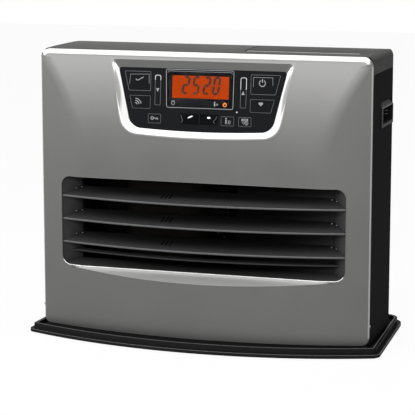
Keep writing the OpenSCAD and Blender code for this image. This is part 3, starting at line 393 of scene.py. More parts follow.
def slat_paint(name):
    """The blades' paint, with painted shade darkening it towards the back."""
    f = Finish(name, (0.044, 0.044, 0.046), 0.42, 0.02, Metallic=0.15)
    clouds = f.noise(40, 3.0)
    unshaded_paint = f.mix((0.036, 0.036, 0.038), (0.052, 0.052, 0.054), clouds)
    # The near-black colour is painted shade, blended in by depth behind the front
    f.vary(f.mix(unshaded_paint, (0.007, 0.007, 0.007), f.painted_shade_depth(clouds, 0.004, 0.040)), 0.38 + 0.08 * clouds)
    return f.bump(f.noise(1100), 40, 0.4)


def duct_paint(name):
    """The housing's paint, dusty, with painted shade darkening it towards the back in the same way."""
    f = Finish(name, (0.032, 0.032, 0.034), 0.55, 0.01)
    dust = f.noise(60, 5.0, roughness=0.7)
    unshaded_paint = f.mix((0.026, 0.026, 0.028), (0.048, 0.047, 0.046), dust)
    # The near-black colour is painted shade, blended in by depth behind the front
    f.vary(f.mix(unshaded_paint, (0.004, 0.004, 0.004), f.painted_shade_depth(dust, 0.012, 0.055)), 0.48 + 0.16 * dust)
    return f.bump(f.noise(800), 60, 0.5)


def lit_display(name):
    """Orange liquid crystal panel, lit evenly from behind, with a faint grid of cells."""
    c = chosen("display")
    f = Finish(name, c, 0.35, 0.003, Emission_Strength=0.20)
    glow = f.noise(30)
    f.put("Base Color", f.shades(c, 0.92, 1.08, glow))
    f.put("Emission Color", f.shades(c, 0.9, 1.1, glow))
    return f.bump(f.cells(2400), 10, 0.3)


def clear_window(name):
    f = Finish(name, (0.95, 0.95, 0.95), 0.02, 0.05, IOR=1.02, Transmission_Weight=1.0)
    f.put("Roughness", 0.01 + 0.02 * f.noise(50))
    return f.bump(f.noise(90, 1.0), 2, 0.1)


def printed(name, colour, glow=0.0):
    """Thin ink, which may glow a little; it also makes the painted glints on the glossy keys."""
    c = tone(colour)
    f = Finish(name, c, 0.5, 0.2, Emission_Strength=glow)
    wear = f.noise(900)
    f.vary(f.shades(c, 0.82, 1.0, wear), 0.45 + 0.1 * wear)
    if glow:
        f.put("Emission Color", f.shades(c, 0.9, 1.0, wear))
    return f.bump(wear, 10, 0.3)


# What the finishes that share a maker differ in, by maker
LOOKS = {
    # Painted highlights: factor, and the attribute that it fades by
    painted_highlight_silver: dict(bead_silver=(1.25, "far"), rim_silver=(1.0, "far"), ledge_silver=(0.54, "far"),
                        edge_silver=(0.36,), bright_edge=(1.25,)),
    # Colour, roughness, fineness and depth of the grain, specular level
    moulding: dict(
        lid_moulding=(("cover", 0.66), 0.42, 1300, 50, 0.01),
        # A painted highlight along the lid's front edge
        lid_edge_light=((0.42, 0.42, 0.41), 0.4),
        seam_black=(0.006, 0.6, 1500, 20, 0.01),
        grip_moulding=((0.011, 0.011, 0.012), 0.45, 1500, 50, 0.03),
        stud_grey=((0.04, 0.04, 0.041), 0.4, 1500, 30, 0.03),
        # A painted highlight on the grip's lip
        lip_light=(0.15, 0.4, 1500, 30, 0.03),
        tray_moulding=(("tray", 1.0), 0.4, 1200, 50, 0.006),
        # A painted highlight on the tray's edges
        tray_edge_grey=((0.105, 0.105, 0.107), 0.35, 1200, 20, 0.05),
        rubber=(0.012, 0.75, 2400, 80, 0.05),
        fascia_moulding=(("fascia", 1.0), 0.38, 2000, 30, 0.01),
        frame_moulding=(("fascia", 1.0), 0.25, 2200, 10, 0.02),
        key_moulding=(("fascia", 0.9), 0.34, 2400, 20, 0.015),
        gloss_key=(("fascia", 0.35), 0.12, 1200, 10, 0.03),
        board=((0.03, 0.16, 0.06), 0.45),
        heat_tinted_steel=((0.007, 0.0062, 0.0055), 0.6, 900, 30, 0.02),
        igniter_ceramic=((0.6, 0.58, 0.52), 0.6),
        cream_moulding=((0.55, 0.52, 0.43), 0.5),
        black_moulding=((0.015, 0.015, 0.016), 0.42)),
    # Colour, roughness, direction of brushing, share of metal
    sheet_metal: dict(
        # A painted highlight on the blades' front edges
        lip_grey=((0.062, 0.062, 0.064), 0.42, None, 0.4),
        pin_steel=(0.35, 0.4),
        zinc_sheet=((0.42, 0.43, 0.44), 0.38),
        # Zinc sheet darkened as painted shade
        dull_sheet=(0.02, 0.6, None, 0.2),
        bright_aluminium=(0.5, 0.34),
        ground_steel=((0.45, 0.45, 0.46), 0.28, (0.05, 1, 1)),
        screw_steel=(0.22, 0.34),
        motor_can=(0.09, 0.4, (1, 1, 0.1), 0.6),
        drawn_copper=((0.55, 0.27, 0.15), 0.3)),
    # Colour, glow
    printed: dict(
        digit_black=((0.03, 0.006, 0.003),), sign_grey=((0.30, 0.31, 0.33),),
        sign_amber=((0.85, 0.22, 0.03), 0.6), mark_grey=((0.25, 0.255, 0.265),),
        # A painted glint on the glossy keys' pips
        outline_grey=((0.125, 0.128, 0.135),), line_white=((0.62, 0.64, 0.67),), pip_white=(0.86,)),
}
FINISHES = {name: (maker, *values) for maker, rows in LOOKS.items() for name, values in rows.items()}
FINISHES.update({maker.__name__: (maker,) for maker in (
    silver_paint, dark_paint, slat_paint, duct_paint, cover_moulding, gauze, lit_display, clear_window)})
MADE = {}


def finish(name):
    """The one material of a finish, made when it is first asked for."""
    if name not in MADE:
        maker, *values = FINISHES[name]
        MADE[name] = maker(name, *values).material
    return MADE[name]


def dress(name, *nodes):
    """Gives CAD nodes their finish."""
    for node in nodes:
        mesh = NODES[node].data
        mesh.materials.clear()
        mesh.materials.append(finish(name))


def soften(width, *nodes):
    """Rounds the sharp edges of CAD nodes with a bevel modifier."""
    for node in nodes:
        m = NODES[node].modifiers.new("soft_edges", "BEVEL")
        m.width, m.segments, m.limit_method = width, 2, "ANGLE"
        m.angle_limit = math.radians(40)


# Meshes

def add_object(name, data):
    made = bpy.data.objects.new(name, data)
    bpy.context.scene.collection.objects.link(made)
    return made


def new_piece(name, bm, material, body="heater", smooth=None):
    """Makes a piece of its own that moves with a body."""
    bmesh.ops.recalc_face_normals(bm, faces=bm.faces)
    mesh = bpy.data.meshes.new(name)
    bm.to_mesh(mesh)
    bm.free()
    piece = add_object(name, mesh)
    mesh.materials.append(finish(material))
    if smooth is not None:
        mesh.shade_smooth()
        mesh.set_sharp_from_angle(angle=math.radians(smooth))
    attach(piece, body)


def skin(bm, rows, closed=False):
    """Adds quads between neighbouring rows of points."""
    rows = [[bm.verts.new(point) for point in row] for row in rows]
    for a, b in zip(rows, rows[1:] + (rows[:1] if closed else [])):
        for k in range(len(a) - 1):
            bm.faces.new((a[k], a[k + 1], b[k + 1], b[k]))
    return rows


def sheet(name, rows, material, body="heater", smooth=60, closed=False):
    """Makes a thin open piece through rows of points."""
    bm = bmesh.new()
    skin(bm, rows, closed)
    new_piece(name, bm, material, body, smooth)


def half_round(steps=4):
    return [(math.cos(t), math.sin(t)) for t in spread(0, math.pi, steps)]


def bead(line, half, place, steps=4, closed=False, inset=0.0):
    """Rows of points for a half-round bead beside a flat line; place(u, v, rise) gives each point."""
    n = len(line)
    rows = []
    for i, p in enumerate(line):
        a = line[i - 1] if closed or i else p
        b = line[(i + 1) % n] if closed or i < n - 1 else p
        d = (Vector(b) - Vector(a)).normalized()
        rows.append([place(p[0] - d.y * (inset + half * c), p[1] + d.x * (inset + half * c), s)
                     for c, s in half_round(steps)])
    return rows


def refined(path, step, closed=False):
    """The path with points added where its steps are longer than one step."""
    fine = []
    for a, b in zip(path, path[1:] + (path[:1] if closed else [])):
        parts = max(1, int(math.dist(a, b) / step))
        fine += [(a[0] + (b[0] - a[0]) * k / parts, a[1] + (b[1] - a[1]) * k / parts) for k in range(parts)]
    return fine if closed else fine + [path[-1]]


def slab(bm, outline, low, high, place=on_fascia):
    """Adds a closed prism over a flat outline; place(u, v, w) gives its points."""
    foot = [bm.verts.new(place(u, v, low)) for u, v in outline]
    head = [bm.verts.new(place(u, v, high)) for u, v in outline]
    n = len(outline)
    bm.faces.new(head)
    bm.faces.new(foot[::-1])
    for i in range(n):
        j = (i + 1) % n
        bm.faces.new((foot[i], foot[j], head[j], head[i]))


def strip(bm, line, width, low, high, closed=False):
    """Adds a raised line of one width on the control panel, with mitred bends."""
    n = len(line)
    rings = []
    for i, p in enumerate(line):
        here = Vector(p)
        before = (here - Vector(line[i - 1])).normalized() if closed or i else None
        after = (Vector(line[(i + 1) % n]) - here).normalized() if closed or i < n - 1 else None
        before, after = before or after, after or before
        d = (before + after).normalized()
        out = Vector((-d.y, d.x)) * width / 2 / max(0.5, d.dot(after))
        rings.append([bm.verts.new(on_fascia(*(here + out * side), w))
                      for side, w in ((1, low), (-1, low), (-1, high), (1, high))])
    for i in range(n if closed else n - 1):
        r, s = rings[i], rings[(i + 1) % n]
        for k in range(4):
            bm.faces.new((r[k], r[(k + 1) % 4], s[(k + 1) % 4], s[k]))
    if not closed:
        bm.faces.new(rings[0])
        bm.faces.new(rings[-1][::-1])


def ring(u, v, r, start=0, stop=360, steps=20):
    """Points of an arc in degrees. A whole circle doesn't repeat its first point."""
    turns = [math.radians(t) for t in spread(start, stop, steps)]
    if abs(stop - start) >= 360:
        turns.pop()
    return [(u + r * math.cos(t), v + r * math.sin(t)) for t in turns]


def oblong(left, right, low, high):
    return [(left, low), (right, low), (right, high), (left, high)]


def quad(foot, head, v, inset):
    """A flat outline between two heights, with its own span at foot and head."""
    return [(foot[0] + inset, v[0] + inset), (foot[1] - inset, v[0] + inset),
            (head[1] - inset, v[1] - inset), (head[0] + inset, v[1] - inset)]


def rounded(points, r, steps=4):
    """Rounds the corners of a flat outline."""
    out = []
    n = len(points)
    for i in range(n):
        p, a, b = (Vector(points[k % n]) for k in (i, i - 1, i + 1))
        start, stop = p + (a - p).normalized() * r, p + (b - p).normalized() * r
        for t in spread(0, 1, steps):
            out.append(tuple((1 - t) ** 2 * start + 2 * t * (1 - t) * p + t * t * stop))
    return out


def key_outline(key, inset=0.0):
    """Outline of one of the nine plain keys."""
    def edge(v):
        return (FOOT_W + (HEAD_W - FOOT_W) * v / FASCIA_LONG) / 2 - KEY_MARGIN
    if key in SPANS:
        left, right, row = SPANS[key]
        return quad((left, right), (left, right), ROWS[row], inset)
    v = ROWS["high" if key in ("power", "check") else "low"]
    if key in ("power", "comfort"):
        return quad((RIGHT_COLUMN, edge(v[0])), (RIGHT_COLUMN, edge(v[1])), v, inset)
    return quad((-edge(v[0]), LEFT_COLUMN), (-edge(v[1]), LEFT_COLUMN), v, inset)


def middle(points):
    return [sum(values) / len(points) for values in zip(*points)]


# The camera fitted to the photograph: its place, and the degrees it is turned down and round
CAMERA_AT, DOWN, ROUND = (0.7961, -2.5785, 0.6741), 10.022, 17.443
FOCAL, PICTURE = 1788.6, 415        # focal length and the picture's side, in pixels
SENSOR = 36
FLOOR_HALF, FLOOR_WHITE, WORLD_LIGHT = 6, 0.955, 0.12
AIM = Vector((0, 0, 0.25))
# Place, width and height, radiance
LAMPS = {
    "front_lamp": ((-0.78, -2.80, 1.50), (3.9, 0.6), 11.3),
    "top_lamp": ((0.1, -0.7, 2.45), (2.4, 1.6), 2.8),
    "left_lamp": ((-2.45, -1.50, 0.95), (1.2, 1.2), 4.5),
    "right_lamp": ((2.80, -1.00, 0.75), (1.2, 1.6), 0.9),
    "fill_lamp": ((0.95, -2.75, 1.00), (0.9, 0.9), 4.5),
}


def floor_finish(name):
    """White to the camera and in reflections, with the heater's shadow kept a little."""
    f = Finish(name, (0.9, 0.9, 0.9), 0.8)
    glow = f.node("Emission", inputs={"Color": (1, 1, 1, 1), "Strength": 1.0})
    mixed = f.node("MixShader", inputs={
        0: f.seen() * FLOOR_WHITE, 1: Value(f, f.shader.outputs[0]), 2: glow})
    f.fill(f.tree.nodes["Material Output"].inputs["Surface"], mixed)
    return f.material


def make_lamp(name, place, size, radiance):
    data = bpy.data.lights.new(name, "AREA")
    data.shape, data.size, data.size_y = "RECTANGLE", *size
    data.energy = radiance * math.pi * size[0] * size[1]
    lamp = add_object(name, data)
    lamp.location = place
    lamp.rotation_mode = "QUATERNION"
    lamp.rotation_quaternion = (Vector(place) - AIM).to_track_quat("Z", "Y")
    lamp.visible_camera = False


def light_world(scene):
    """White behind everything and in reflections, and a dim light elsewhere."""
    scene.world = bpy.data.worlds.new("world")
    graph = Graph(scene.world)
    level = graph.node("MapRange", inputs={
        "Value": graph.seen(), "To Min": WORLD_LIGHT, "To Max": 1.0})
    background = graph.tree.nodes["Background"]
    graph.fill(background.inputs["Strength"], level)
    graph.fill(background.inputs["Color"], (1, 1, 1, 1))


class HEATER_OT_stage(bpy.types.Operator):
    """Make the floor, the soft lamps, the world and the camera"""

    bl_idname = "heater.stage"
    bl_label = "Stage"

    def execute(self, context):
        scene = context.scene
        scene.view_settings.view_transform = "Standard"
        camera = add_object("camera", bpy.data.cameras.new("camera"))
        camera.location = CAMERA_AT
        camera.rotation_euler = (math.radians(90 - DOWN), 0, math.radians(ROUND))
        camera.data.sensor_width = SENSOR
        camera.data.lens = FOCAL / PICTURE * SENSOR
        camera.data.clip_start = 0.05
        scene.camera = camera

        far = FLOOR_HALF
        mesh = bpy.data.meshes.new("floor")
        mesh.from_pydata([(*corner, 0) for corner in oblong(-far, far, -far, far)], [], [(0, 1, 2, 3)])
        floor = add_object("floor", mesh)
        mesh.materials.append(floor_finish("floor_white"))

        for name, (place, size, radiance) in LAMPS.items():
            make_lamp(name, place, size, radiance)
        light_world(scene)
        return {"FINISHED"}


SIDES = ((1, "right"), (-1, "left"))
# Painted highlight along the top edge: millimetres down from the top edge, and the share of fading there
TOP_HIGHLIGHT = ((0.0, 0.25), (0.9, 0.05), (1.8, 0.0), (3.0, 0.0), (4.0, 0.2), (5.2, 0.6), (6.6, 0.9), (8.2, 1.0))
# Painted highlight round the control panel: millimetres out from the surround's lip, how proud of the front,
# and the share of fading there
RIM_HIGHLIGHT = ((0.0, 0.30, 0.52), (1.2, 0.22, 0.68), (2.6, 0.16, 0.84), (4.4, 0.10, 0.96), (6.5, 0.04, 1.0))
SIDE_FOOT, FOLD_Z, FOLD_HALF = 0.0265, (0.2505, 0.4285), 0.010
LEDGE_HEAD, LEDGE_TIP, LEDGE_END, LEDGE_REACH = 0.1117, 0.1866, 0.2045, 0.219
GRIP_TOP = 0.359


def ribbon(name, rows, material, smooth=180):
    """A thin open sheet of the front from rows of points, each with its share of fading."""
    bm = bmesh.new()
    far = bm.verts.layers.float.new("far")
    for verts, row in zip(skin(bm, [[point for point, _ in row] for row in rows]), rows):
        for v, (_, share) in zip(verts, row):
            v[far] = share
    new_piece(name, bm, material, smooth=smooth)


def top_bead():
    """Painted highlight on a rounded bead along the top edge and down the shoulders."""
    straight, bend, steps = HALF_W - SHOULDER, CASE_TOP - SHOULDER, 14
    path = [(-straight, 180 - 90 * k / steps) for k in range(steps)]
    path += [(x, 90) for x in spread(-straight, straight, 68)]
    path += [(straight, 90 - 90 * k / steps) for k in range(1, steps + 1)]
    rows = []
    for middle_x, degrees in path:
        angle = math.radians(degrees)
        out = Vector((math.cos(angle), 0, math.sin(angle)))
        # The painted highlight fades into the paint down the shoulders
        shoulder_fade = 1 - max(0.0, math.sin(angle))
        row = []
        for inset, share in TOP_HIGHLIGHT:
            point = Vector((middle_x + SHOULDER * math.cos(angle), 0, bend + SHOULDER * math.sin(angle)))
            point -= out * inset * MM
            y = front_y(min(HALF_W, max(-HALF_W, point.x)), min(point.z, CASE_TOP - 0.00002))
            point.y = min(y, PANEL_BACK - 0.0004) - 0.00010
            faded = max(share, shoulder_fade * (2.4 if inset < 2.5 else 1.3))
            row.append((point + out * 0.00008, min(1.0, faded)))
        rows.append(row)
    ribbon("top_bead", rows, "bead_silver")


def side_edge_and_fold(side, tag):
    """Side edge with a painted highlight, and the soft fold where the bowed front meets its wall."""
    x = HALF_W - 0.0012
    ribbon(tag + "_side_edge", [
        [(Vector((side * across, y, z)), 0.0) for across, y in (
            (HALF_W + 0.00006, PANEL_BACK - 0.0002), (HALF_W + 0.00009, CORNER_Y + 0.0012),
            (HALF_W + 0.00002, CORNER_Y - 0.00006), (x, front_y(x, z) - 0.00008))]
        for z in spread(SIDE_FOOT, CASE_TOP - SHOULDER, 29)], "edge_silver", smooth=60)
    rows = []
    for z in spread(*FOLD_Z, 29):
        fold = math.sqrt(BOW_R ** 2 - (BOW_CY - front_y(0.0, z)) ** 2)
        places = [min(fold + across, HALF_W - 0.0005) for across in (-FOLD_HALF, 0.0, FOLD_HALF)]
        rows.append([(Vector((side * x, front_y(x, z) - 0.00009, z)), 0.0) for x in places])
    ribbon(tag + "_fold", rows, "silver_paint")


def lid_lines():
    """Front edge with a painted highlight, and dark seam of the tank's lid, moving with it."""
    lo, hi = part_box("tank_lid")
    crown = {}
    for v in NODES["tank_lid"].data.vertices:
        y = round(v.co.y, 3)
        crown[y] = max(crown.get(y, 0), v.co.z)

    def crest(y):
        below = max((k for k in crown if k <= y), default=min(crown))
        above = min((k for k in crown if k >= y), default=max(crown))
        t = 0 if above == below else (y - below) / (above - below)
        return crown[below] * (1 - t) + crown[above] * t

    def place(x, y, rise):
        return x, y, crest(y) - 0.00005 + 0.00045 * rise
    left, front, line = lo[0], lo[1], lo[1] + 0.0009
    seam = [(left + 0.0012, hi[1] - 0.020), (left + 0.0012, front + 0.004),
            (left + 0.0020, front + 0.0022), (left + 0.004, front + 0.0020)]
    for name, material, path in (
            ("lid_front_edge", "lid_edge_light", [(left + 0.004, line), (hi[0] - 0.012, line)]),
            ("lid_side_line", "seam_black", seam)):
        sheet(name, bead(refined(path, 0.006), 0.0006, place), material, "lid")


def fascia_rim():
    """Painted highlight on the rounded surround of the control panel, sides and foot."""
    inner = bowed_outline(FOOT_W, HEAD_W, FASCIA_LONG, 4, 22, 4)[:-6]
    outer = [p - Vector((0, 8.5)) for p in bowed_outline(237, 306, 131.5, 5, 28, 3)[:-6]]
    right = list(zip(inner, outer))
    left = [tuple(Vector((-p.x, p.y)) for p in pair) for pair in right[:0:-1]]
    rows = []
    for p, q in left + right:
        def at(t):
            return on_fascia(*p.lerp(q, t), 8 * t)
        low, high = 0.0, 1.4
        for _ in range(30):
            t = (low + high) / 2
            here = at(t)
            if here.y > front_y(here.x, here.z):
                low = t
            else:
                high = t
        lip, way = at(low), (q - p).normalized()
        thin, flare = hump(p.y, 52, 22), hump(p.y, 85, 10)
        row = [(at(low * k / 8) + OUTWARD * 0.00014 * min(1, k),
                min(0.78, (0.42 + 1.3 * thin) * (1 - 0.7 * flare) * k / 8)) for k in range(8)]
        for reach, proud, share in RIM_HIGHLIGHT:
            wide = reach * (1 + flare)
            x = lip.x + way.x * wide * MM
            z = min(lip.z + way.y * wide * MM, CASE_TOP - TOP_ROUND)
            share += (clamp((wide - 5) / 5) - share) * flare
            row.append((Vector((x, front_y(x, z) - proud * MM, z)), min(1.0, share + 0.5 * thin)))
        # Towards the top the painted highlight fades into the front's paint
        rows.append([(point, share + (0.95 - min(0.95, share)) * clamp((point.z - 0.4180) / 0.006))
                     for point, share in row])
    ribbon("fascia_rim", rows, "rim_silver")


def ledge_strip():
    """Painted highlight on the crescent of the ledge under the louvres, and on the wall's foot beside it."""
    head, tip = LEDGE_HEAD, LEDGE_TIP
    crease = LEDGE_FOOT + LEDGE_SLOPE * (BOW - WALL_DEPTH)
    places = spread(0, LEDGE_END, 34) + [tip - 0.002, tip, tip + 0.002]
    rows = []
    for x in sorted([-p for p in places if p] + places):
        low = LEDGE_FOOT + LEDGE_SLOPE * (bow_y(x) - CORNER_Y + BOW)
        if abs(x) >= tip:
            low = crease + (head - 0.0001 - crease) * (abs(x) - tip) / (LEDGE_REACH - tip)
        heights = [head, (head + crease) / 2] + spread(crease, low, 5)
        share = clamp((abs(x) - 0.180) / 0.024)
        rows.append([(Vector((x, front_y(x, z) - 0.00024, z + 0.00010)), share) for z in heights])
    ribbon("ledge_strip", rows, "ledge_silver", smooth=40)


def vent_edge():
    """Rounded lip round the louvre opening, with a painted highlight along its foot."""
    x, low, high = VENT_X - VENT_ROUND, VENT_Z[0] + VENT_ROUND, VENT_Z[1] - VENT_ROUND
    whole = []
    for k, (u, v) in enumerate([(x, high), (-x, high), (-x, low), (x, low)]):
        whole += ring(u, v, VENT_ROUND, 90 * k, 90 * (k + 1), 8)
    fine = refined(whole, 0.008, closed=True)
    foot = [i for i, p in enumerate(fine) if p[1] < VENT_Z[0] + VENT_ROUND * 0.6]
    start = next(i for i in foot if (i - 1) % len(fine) not in foot)
    fine = fine[start:] + fine[:start]

    def place(x, z, rise):
        return x, front_y(x, z) + 0.0002 - 0.00064 * rise, z
    for name, line, material in (("vent_foot_edge", fine[:len(foot)], "bright_edge"),
                                 ("vent_edge", fine[len(foot) - 1:] + fine[:1], "silver_paint")):
        sheet(name, bead(line, -0.0005, place, steps=5), material)


def grip_details(side, tag):
    """Low ribs, studs, tongues, and a lip with a painted highlight, in a hand grip."""
    def along(u, v, w):
        return Vector((side * v, u, w))

    def on_plate(u, v, w):
        return Vector((side * (HALF_W + 0.0006 - 0.5 * v + 0.866 * w), u,
                       GRIP_TOP + 0.866 * v + 0.5 * w))
    bm = bmesh.new()
    for i in range(9):
        y = 0.006 + i * 0.0072
        slab(bm, oblong(y, y + 0.0022, 0.2395, 0.2545), 0.3349, 0.3362, along)
    new_piece(tag + "_grip_ribs", bm, "grip_moulding")
    bm = bmesh.new()
    for i in range(8):
        y = i * 0.009
        slab(bm, rounded(oblong(y, y + 0.0045, 0.0020, 0.0082), 0.001), -0.0002, 0.0004, on_plate)
    for z in (0.3505, 0.3455):
        outline = rounded(oblong(0.038, 0.050, HALF_W - 0.0180, HALF_W - 0.0020), 0.002)
        slab(bm, outline, z, z + 0.0012, along)
    new_piece(tag + "_grip_studs", bm, "stud_grey")
    # The lip's light colour is a painted highlight
    sheet(tag + "_grip_lip", [
        [(side * (HALF_W + 0.0009 + 0.0005 * s), y, GRIP_TOP + 0.0002 + 0.0011 * c)
         for c, s in half_round()] for y in spread(-0.0045, 0.0715, 16)],
        "lip_light")


class HEATER_OT_case(bpy.types.Operator):
    """Paint the front, the sides and the back, and finish the moulded top and grips"""

    bl_idname = "heater.case"
    bl_label = "Case"

    def execute(self, context):
        dress("silver_paint", "front_panel")
        dress("dark_paint", "left_side_panel", "right_side_panel", "rear_panel")
        dress("cover_moulding", "top_cover")
        dress("lid_moulding", "tank_lid")
        dress("grip_moulding", "left_grip", "right_grip")
        soften(context.scene.heater_sizes.edge_round, "top_cover", "tank_lid", "left_grip", "right_grip")
        for side, tag in SIDES:
            grip_details(side, tag)
        fascia_rim()
        ledge_strip()
        vent_edge()
        top_bead()
        for side, tag in SIDES:
            side_edge_and_fold(side, tag)
        lid_lines()
        return {"FINISHED"}


TRAY_FRONT = 89
# Painted highlights along the tray's edges: millimetres inside the tray's outline, height and width of each
# line
TRAY_HIGHLIGHT_LINES = {"tray_rim_line": (10.0, 16.0, 1.7), "tray_lip_line": (0.5, 8.0, 1.1)}


class HEATER_OT_base(bpy.types.Operator):
    """Finish the drip tray and its rubber feet"""

    bl_idname = "heater.base"
    bl_label = "Tray"

    def execute(self, context):
        dress("tray_moulding", "base_tray")
        dress("rubber", "rubber_feet", "mains_bush")
        soften(0.0008, "base_tray")
        half = bowed_outline(552, 532, 233, 55, 12, 30, 24)
        loop = half + [Vector((-p.x, p.y)) for p in half[-1:0:-1]]
        for name, (inset, z, wide) in TRAY_HIGHLIGHT_LINES.items():
            def place(u, v, rise):
                return Vector((u, v - TRAY_FRONT, z - 0.12 + 0.5 * rise)) * MM
            sheet(name, bead(loop, wide / 2, place, closed=True, inset=inset), "tray_edge_grey",
                  closed=True)
        return {"FINISHED"}


# Ends of the seven segments in widths and heights of a figure
SEGMENTS = {"a": (0, 1, 1, 1), "b": (1, 0.5, 1, 1), "c": (1, 0, 1, 0.5), "d": (0, 0, 1, 0),
            "e": (0, 0, 0, 0.5), "f": (0, 0.5, 0, 1), "g": (0, 0.5, 1, 0.5)}
FIGURES = {"2": "abged", "5": "afgcd", "0": "abcdef"}
SIGNS_LOW, SIGNS_TOP = 0.30, 0.36   # the floor of the display's frame, and the print on it
FRAME_FACE = 0.72


def digits():
    """Two pairs of seven-segment figures, slanted as on such displays."""
    bm = bmesh.new()
    tall, wide, half, slant, foot, gap = 23.6, 7.9, 1.8, 0.13, 53.3, 0.15
    for x, figure in zip((-29.9, -14.3, 2.3, 17.2), "2520"):
        def place(u, v, w):
            return on_fascia(x + u + slant * v, foot + v, w)
        for key in FIGURES[figure]:
            u0, v0, u1, v1 = SEGMENTS[key]
            a, b = Vector((u0 * wide, v0 * tall)), Vector((u1 * wide, v1 * tall))
            d = (b - a).normalized()
            a, b, d = a + d * gap, b - d * gap, d * half
            n = Vector((-d.y, d.x))
            slab(bm, [a, a + d - n, b - d - n, b, b - d + n, a + d + n], -1.25, -1.14, place)
    new_piece("display_digits", bm, "digit_black")


def signs():
    """The line round the display, and the small printed signs under it."""
    line = bpy.context.scene.heater_sizes.mark_width / MM
    low, top = SIGNS_LOW, SIGNS_TOP
    frame_sides = (-54, 50), (-56, 50), (30.8, 88.4)
    bm = bmesh.new()
    strip(bm, rounded(quad(*frame_sides, 0.6), 3.0), 0.65,
          FRAME_FACE - 0.05, FRAME_FACE + 0.03, closed=True)
    strip(bm, rounded(quad(*frame_sides, 3.2), 2.5)[10:], 0.45, 0.28, 0.34)
    new_piece("display_line", bm, "sign_grey")

    bm = bmesh.new()
    strip(bm, ring(-43.5, 38.0, 2.5, steps=18), line, low, top, closed=True)
    strip(bm, [(-45.8, 41.6), (-43.5, 40.6), (-41.2, 41.6)], line, low, top)
    slab(bm, ring(21.0, 40.6, 1.0), low, top)
    slab(bm, [(20.2, 35.2), (21.8, 35.2), (21.9, 39.2), (20.1, 39.2)], low, top)
    for u in (23.2, 25.2):
        strip(bm, [(u, 36.0), (u + 1.0, 37.6), (u + 0.2, 39.2)], line * 0.8, low, top)
    new_piece("display_signs", bm, "sign_grey")

    bm = bmesh.new()
    for points in (ring(36.6, 37.6, 2.5, 110, 430, 16), [(36.6, 38.2), (36.6, 41.2)]):
        strip(bm, points, line * 1.3, low, top + 0.01)
    new_piece("display_lamp_sign", bm, "sign_amber")


class HEATER_OT_control_panel(bpy.types.Operator):
    """Finish the control panel and make the display's digits and small signs"""

    bl_idname = "heater.control_panel"
    bl_label = "Control panel"

    def execute(self, context):
        dress("fascia_moulding", "control_fascia")
        dress("frame_moulding", "lcd_frame")
        dress("lit_display", "lcd_display")
        dress("clear_window", "lcd_window")
        dress("board", "control_board", "power_board")
        digits()
        signs()
        return {"FINISHED"}


PLAIN = ("power", "comfort", "check", "timer", "down", "up", "lock", "vent", "schedule")
# Outline of the pip with a painted glint and line of the end rib of each glossy key
GLOSSY = {
    "left_set": ([(-20.5, 16.2), (-17.6, 16.6), (-13.2, 18.2), (-11.8, 19.8), (-14.6, 19.9), (-17.4, 18.8)],
                 [(-30.2, 9.6), (-27.6, 12.6), (-29.8, 17.0), (-30.6, 20.6)]),
    "right_set": ([(10.0, 17.3), (11.4, 16.6), (14.6, 16.8), (15.6, 18.0), (14.4, 19.4), (11.0, 19.3)],
                  [(21.8, 9.6), (19.6, 12.4), (23.4, 16.4), (25.0, 20.4)]),
}


def on_key(key, tag, bm, material, smooth=None):
    new_piece(f"{key}_{tag}", bm, material, key + "_key", smooth)


def pip_and_rib(key, pip, rib):
    """Raised pip with a painted glint, and end rib of a glossy key."""
    cu, cv = middle(pip)
    bm = bmesh.new()
    columns = skin(bm, [[
        on_fascia(u, v, KEY_FACE - 0.05), on_fascia(u, v, KEY_FACE + 0.35),
        on_fascia(cu + (u - cu) * 0.6, cv + (v - cv) * 0.6, KEY_FACE + 0.6)] for u, v in pip], closed=True)
    bm.faces.new([column[-1] for column in columns])
    on_key(key, "pip", bm, "pip_white", 50)
    bm = bmesh.new()
    strip(bm, rib, 0.5, KEY_FACE - 0.03, KEY_FACE + 0.12)
    on_key(key, "rib", bm, "outline_grey")


def print_levels():
    """Width of a printed line, and the heights between which it lies."""
    sizes = bpy.context.scene.heater_sizes
    return sizes.mark_width / MM, KEY_FACE - 0.03, KEY_FACE + sizes.print_height / MM


